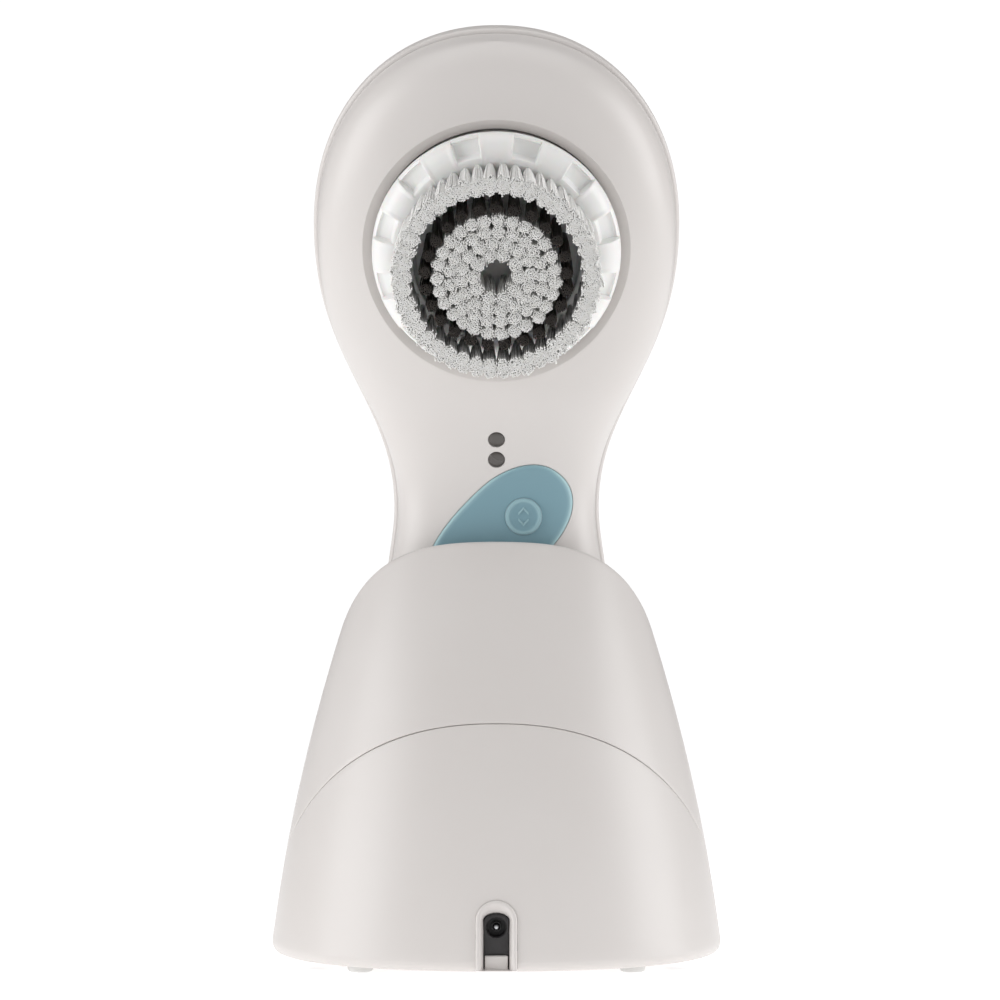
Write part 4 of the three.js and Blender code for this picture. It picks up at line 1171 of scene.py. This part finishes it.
def build_collar():
    """The collar that carries the outer tufts, with finger notches cut round its rim."""
    angle = collar_angles()
    pitch = 2 * math.pi / NOTCHES
    off = np.abs((angle - math.radians(15) + pitch / 2) % pitch - pitch / 2)
    cut = 1 - smoothstep(NOTCH_HALF - 0.007, NOTCH_HALF + 0.006, off)
    lip = smoothstep(0, 0.007, off - NOTCH_HALF) * (1 - smoothstep(0.022, 0.045, off - NOTCH_HALF))
    profile = [
        ((16.4, 18.4), (16.4, 18.4), 0), ((16.4, 20.72), (16.4, 20.72), 0),
        ((16.48, 20.92), (16.48, 20.92), 0), ((16.7, 21.0), (16.7, 21.0), 0),
        ((19.0, 21.0), (19.0, 21.0), 0), ((19.8, 21.0), (19.8, 21.02), 0.3),
    ]
    bend = np.linspace(0, math.pi / 2, len(NOTCH_STEPS))
    reach = RIM_INNER + (COLLAR_RADIUS - RIM_INNER) * np.sin(bend)
    shoulder = np.column_stack([reach, RIM_TOP + (COLLAR_TOP - RIM_TOP) * np.cos(bend)])
    raised = np.clip(3 * np.cos(bend), 0, 1)
    profile += list(zip(shoulder, NOTCH_STEPS, raised))
    profile += [(point, point, 0) for point in SKIRT]
    rings = []
    for plain, notched, raised in profile:
        radius = plain[0] + (notched[0] - plain[0]) * cut
        level = plain[1] + (notched[1] - plain[1]) * cut + 0.16 * raised * lip
        rings.append(np.column_stack([radius * np.cos(angle), radius * np.sin(angle), level]))
    collar = make("finger_collar", moved(ring_stack(rings, wrap=True), HEAD))
    return dress(collar, "brush_head", "brush_plastic", "brush_collar")


def strands(tufts, count, low, high, dome=0.25, thick=0.085):
    """Filaments of round tufts: each tuft is (root x, root y, root radius, tip x, tip y, tip radius)."""
    tufts = np.asarray(tufts, float)[:, None, :]
    total = len(tufts)
    order = np.arange(count)[None, :]
    reach = np.sqrt((order + 0.5) / count) * np.ones((total, 1))
    turn = order * 2.39996 + RNG.uniform(0, 2 * math.pi, (total, 1))
    ray = np.stack([np.cos(turn), np.sin(turn)], axis=-1) * reach[..., None]
    lean = RNG.normal(0, 0.1, (total, 1, 2))
    tip_reach = tufts[..., 5:6] * (1 + 0.09 * RNG.standard_t(4, (total, count, 1)).clip(-3, 4))
    root = tufts[..., 0:2] + ray * tufts[..., 2:3]
    tip = tufts[..., 3:5] + ray * tip_reach + lean + RNG.normal(0, 0.05, (total, count, 2))
    end = high - dome * reach ** 2 + RNG.normal(0, 0.08, (total, count)).clip(-0.2, 0.2)
    along = [(0.0, 0.0, 0.55), (0.34, 0.52, 0.65), (0.985, 0.99, 1.0), (1.0, 1.0, 0.85)]
    angle = RNG.uniform(0, 2 * math.pi, (total, count, 1)) + np.arange(3) * 2 * math.pi / 3
    rings = []
    for rise, spread, size in along:
        centre = root + (tip - root) * spread
        level = low + (end - low) * rise
        x = centre[..., 0:1] + thick * size * np.cos(angle)
        y = centre[..., 1:2] + thick * size * np.sin(angle)
        rings.append(np.stack([x, y, level[..., None] * np.ones(3)], axis=-1))
    points = np.stack(rings, axis=2).reshape(-1, 3)
    block = len(along) * 3
    base = np.arange(total * count)[:, None, None] * block
    sides = []
    for row in range(0, block - 3, 3):
        for k in range(3):
            after = (k + 1) % 3
            sides.append([row + k, row + after, row + 3 + after, row + 3 + k])
    quads = (base + np.array(sides)).reshape(-1, 4)
    caps = (base + np.array([[2, 1, 0], [block - 3, block - 2, block - 1]])).reshape(-1, 3)
    return points, quads, caps


def make_strands(name, body, slot, node, *groups):
    """One mesh of filaments, built straight from arrays because there are so many; their ends are flat."""
    points, sizes, corners, start = [], [], [], 0
    for group_points, quads, caps in groups:
        points.append(carried(group_points, HEAD))
        sizes += [np.full(len(quads), 4), np.full(len(caps), 3)]
        corners += [(quads + start).ravel(), (caps + start).ravel()]
        start += len(group_points)
    points, sizes, corners = np.concatenate(points) * MM, np.concatenate(sizes), np.concatenate(corners)
    mesh = bpy.data.meshes.new(name)
    mesh.vertices.add(len(points))
    mesh.vertices.foreach_set("co", points.ravel().astype(np.float32))
    mesh.loops.add(len(corners))
    mesh.loops.foreach_set("vertex_index", corners.astype(np.int32))
    mesh.polygons.add(len(sizes))
    mesh.polygons.foreach_set("loop_start", np.concatenate([[0], np.cumsum(sizes)[:-1]]).astype(np.int32))
    mesh.update(calc_edges=True)
    mesh.validate()
    mesh.shade_smooth()
    corner_counts = np.empty(len(mesh.polygons), np.int32)
    mesh.polygons.foreach_get("loop_total", corner_counts)
    mesh.polygons.foreach_set("use_smooth", corner_counts != 3)
    obj = bpy.data.objects.new(name, mesh)
    bpy.context.scene.collection.objects.link(obj)
    return dress(obj, body, slot, node)


def tuft_ring(radius, count, root, tip_radius, tip, phase=0.0):
    """A ring of tufts: their roots at one radius, their tips splayed out at another."""
    turn = (np.arange(count) + phase) * 2 * math.pi / count
    cos, sin = np.cos(turn), np.sin(turn)
    roots, tips = np.full(count, root), np.full(count, tip)
    return np.column_stack([radius * cos, radius * sin, roots, tip_radius * cos, tip_radius * sin, tips])


def build_tufts():
    outer = [tuft_ring(17.6, 42, 0.5, 17.75, 1.3), tuft_ring(18.8, 48, 0.5, 19.0, 1.36, 0.5)]
    make_strands(
        "outer_tufts", "brush_head", "white_filament", "outer_bristles",
        strands(np.concatenate(outer), 105, COLLAR_TOP - 0.15, TIP_HEIGHT, 0.1, 0.205),
    )
    tufts = tuft_ring(13.7, 25, 0.7, 13.7, 1.14, 0.25)
    dark = strands(tufts, 190, DISC_TOP - 0.15, TIP_HEIGHT - 0.1, 0.2, 0.095)
    make_strands("dark_tufts", "brush_disc", "dark_filament", "dark_bristles", dark)
    rings = [(4.5, 10, 0.0, 1.4), (6.7, 16, 0.3, 1.34), (8.95, 21, 0.1, 1.32), (11.3, 27, 0.6, 1.28)]
    inner = [tuft_ring(radius, count, 0.6, radius, size, phase) for radius, count, phase, size in rings]
    make_strands(
        "inner_tufts", "brush_disc", "white_filament", "inner_bristles",
        strands(np.concatenate(inner), 130, DISC_TOP - 0.15, TIP_HEIGHT, 0.42, 0.168),
    )


def build_disc():
    """The swinging disc: its tufted face, the flange under the collar and the tube over the hub."""
    profile = soften([
        (0, DISC_TOP), (15.8, DISC_TOP, 0.3), (15.8, 17.6, 0.15), (17.5, 17.6, 0.2), (17.5, 15.3, 0.2),
        (9, 15.3, 0.4), (9, 9.5, 0.3), (6.85, 9.5, 0.2), (6.85, 14.4, 0.2), (0, 14.4),
    ], closed=False, steps=4)
    disc = make("tuft_disc", moved(turned(profile, 180, False), HEAD))
    return dress(disc, "brush_disc", "brush_plastic", "brush_disc")


def lobed(grow, count=96):
    """The drive hub's three-lobed outline."""
    angle = np.arange(count) * 2 * math.pi / count
    radius = 5.6 + grow + 0.9 * np.cos(3 * angle)
    return np.column_stack([radius * np.cos(angle), radius * np.sin(angle)])


def build_drive_end():
    """The hub, the shaft and the seal, which show when the head is off."""
    hub = make("drive_hub_cap", moved(slab(lobed(0), 8, 14, 0.45), HEAD))
    combine(hub, make("hub_bore", moved(rod(1.6, 11.4, 16, 0, 40), HEAD), scratch=True), "DIFFERENCE")
    dress(hub, "drive", "black_plastic", "drive_hub")
    shaft = make("drive_spindle", moved(rod(3.0, -10.8, 7.9, 0.4, 72), HEAD))
    dress(shaft, "drive", "steel", "drive_shaft")
    lips = [
        (3.15, 5.4), (7.7, 5.4, 0.2), (7.7, 7.4, 0.2), (4.4, 7.4, 0.2),
        (4.1, 6.5, 0.3), (3.4, 7.3, 0.2), (3.15, 7.1),
    ]
    seal = make("shaft_lip_seal", moved(turned(soften(lips, steps=4), 96), HEAD))
    dress(seal, "handle", "seal_rubber", "shaft_seal")


def build_socket():
    """The cup that the brush head pushes into, with a raised lead-in bead for its skirt."""
    profile = soften([
        (8, 6), (26.2, 6, 0.3), (26.2, 10.9, 0.3), (24.2, 10.9, 0.3), (24.2, 9.2, 0.2),
        (24.2, SOCKET_FLOOR, 0.6), (21.5, SOCKET_FLOOR, 0.2), (21.3, 8.2, 0.2), (20.4, 8.2, 0.2),
        (20.2, SOCKET_FLOOR, 0.2), (8, SOCKET_FLOOR, 0.2),
    ], steps=4)
    cup = make("socket_cup", moved(turned(profile, 180), HEAD))
    peg = turned([(1.3, 3.3), (3, 3.3), (3, 6.4), (1.3, 6.4)], 40)
    pegs = [moved(peg, HEAD @ Matrix.Translation((x, 12, 0))) for x in (-16, 16)]
    combine(cup, make("socket_bosses", *pegs, scratch=True), "UNION")
    dress(cup, "handle", "shell_plastic", "brush_socket")


def build_retaining_ring():
    profile = soften([
        (10, 12.9, 0.2), (21.8, 12.9, 0.2), (21.8, 14.9, 0.3),
        (21.2, 14.9, 0.1), (21.2, 14.5, 0.1), (10, 14.5, 0.2),
    ], steps=3)
    ring = make("snap_ring", moved(turned(profile, 144), HEAD))
    return dress(ring, "brush_head", "brush_plastic", "retaining_ring")


build_collar()
build_tufts()
build_disc()
build_retaining_ring()
build_drive_end()
build_socket()

# ---------------------------------------------------------------- studio


def floor_paper():
    """White paper that runs out into evenly lit white away from the object, so it has no horizon."""
    paper = Finish("floor_paper", (0.95, 0.95, 0.95), 0.9).mottle(60, 0.004).grain(1.5, 0.01)
    paper.set("Emission Color", (1, 1, 1, 1))
    paper.set("Emission Strength", 0.5)
    reach = paper.node("ShaderNodeVectorMath", operation="LENGTH")
    paper.links.new(paper.place, reach.inputs[0])
    share = paper.node("ShaderNodeMapRange", interpolation_type="SMOOTHSTEP")
    share.inputs["From Min"].default_value = 0.06
    share.inputs["From Max"].default_value = 0.32
    paper.links.new(reach.outputs["Value"], share.inputs["Value"])
    glow = paper.node("ShaderNodeEmission", Strength=1.04)
    mix = paper.node("ShaderNodeMixShader")
    paper.links.new(share.outputs["Result"], mix.inputs["Fac"])
    paper.links.new(paper.shader.outputs[0], mix.inputs[1])
    paper.links.new(glow.outputs[0], mix.inputs[2])
    paper.links.new(mix.outputs[0], paper.nodes["Material Output"].inputs["Surface"])
    return paper.material


def build_studio():
    """Two side softboxes, a weak one overhead and one in front, and the camera."""
    world = bpy.data.worlds.new("studio")
    bpy.context.scene.world = world
    world.use_nodes = True
    nodes, links = world.node_tree.nodes, world.node_tree.links
    fill = nodes["Background"]
    fill.inputs["Color"].default_value = (1.0, 0.99, 0.985, 1)
    fill.inputs["Strength"].default_value = 0.17
    paper = nodes.new("ShaderNodeBackground")
    paper.inputs["Color"].default_value = (1, 1, 1, 1)
    paper.inputs["Strength"].default_value = 1.05
    seen = nodes.new("ShaderNodeLightPath")
    mix = nodes.new("ShaderNodeMixShader")
    links.new(seen.outputs["Is Camera Ray"], mix.inputs["Fac"])
    links.new(fill.outputs[0], mix.inputs[1])
    links.new(paper.outputs[0], mix.inputs[2])
    links.new(mix.outputs[0], nodes["World Output"].inputs["Surface"])

    for name, at, width, tall, power in [
        ("left_softbox", (-1.0, -0.33, 0.40), 0.8, 0.9, 7.2),
        ("right_softbox", (1.05, -0.14, 0.40), 0.7, 0.9, 6.9),
        ("top_softbox", (0, -0.05, 1.35), 1.3, 1.3, 6),
        ("front_softbox", (0, -1.5, 0.55), 1.6, 0.8, 1.7),
    ]:
        light = bpy.data.lights.new(name, "AREA")
        light.shape = "RECTANGLE"
        light.size, light.size_y = width, tall
        light.energy = power
        lamp = bpy.data.objects.new(name, light)
        lamp.location = at
        lamp.rotation_euler = (Vector((0, 0, 0.09)) - Vector(at)).to_track_quat("-Z", "Y").to_euler()
        bpy.context.scene.collection.objects.link(lamp)

    sheet = [(-2500, -2500, 0), (2500, -2500, 0), (2500, 2500, 0), (-2500, 2500, 0)]
    floor = make("studio_floor", (sheet, [(0, 1, 2, 3)]))
    floor.data.materials.append(floor_paper())

    camera = bpy.data.cameras.new("camera")
    camera.sensor_width = 36
    camera.lens = 162
    eye = bpy.data.objects.new("camera", camera)
    eye.location = (0.0007, -0.9, 0.110)
    eye.rotation_euler = (math.radians(90 - 1.16), 0, 0)
    bpy.context.scene.collection.objects.link(eye)
    bpy.context.scene.camera = eye
    bpy.context.scene.view_settings.view_transform = "Standard"


build_studio()


def dress_cad():
    """Every CAD node takes the finish of its slot."""
    for row in frame["record"]["subparts"]:
        node = frame["nodes"][row["node"]]
        node.data.materials.clear()
        node.data.materials.append(SLOTS[row["material_slot"]].material)


dress_cad()
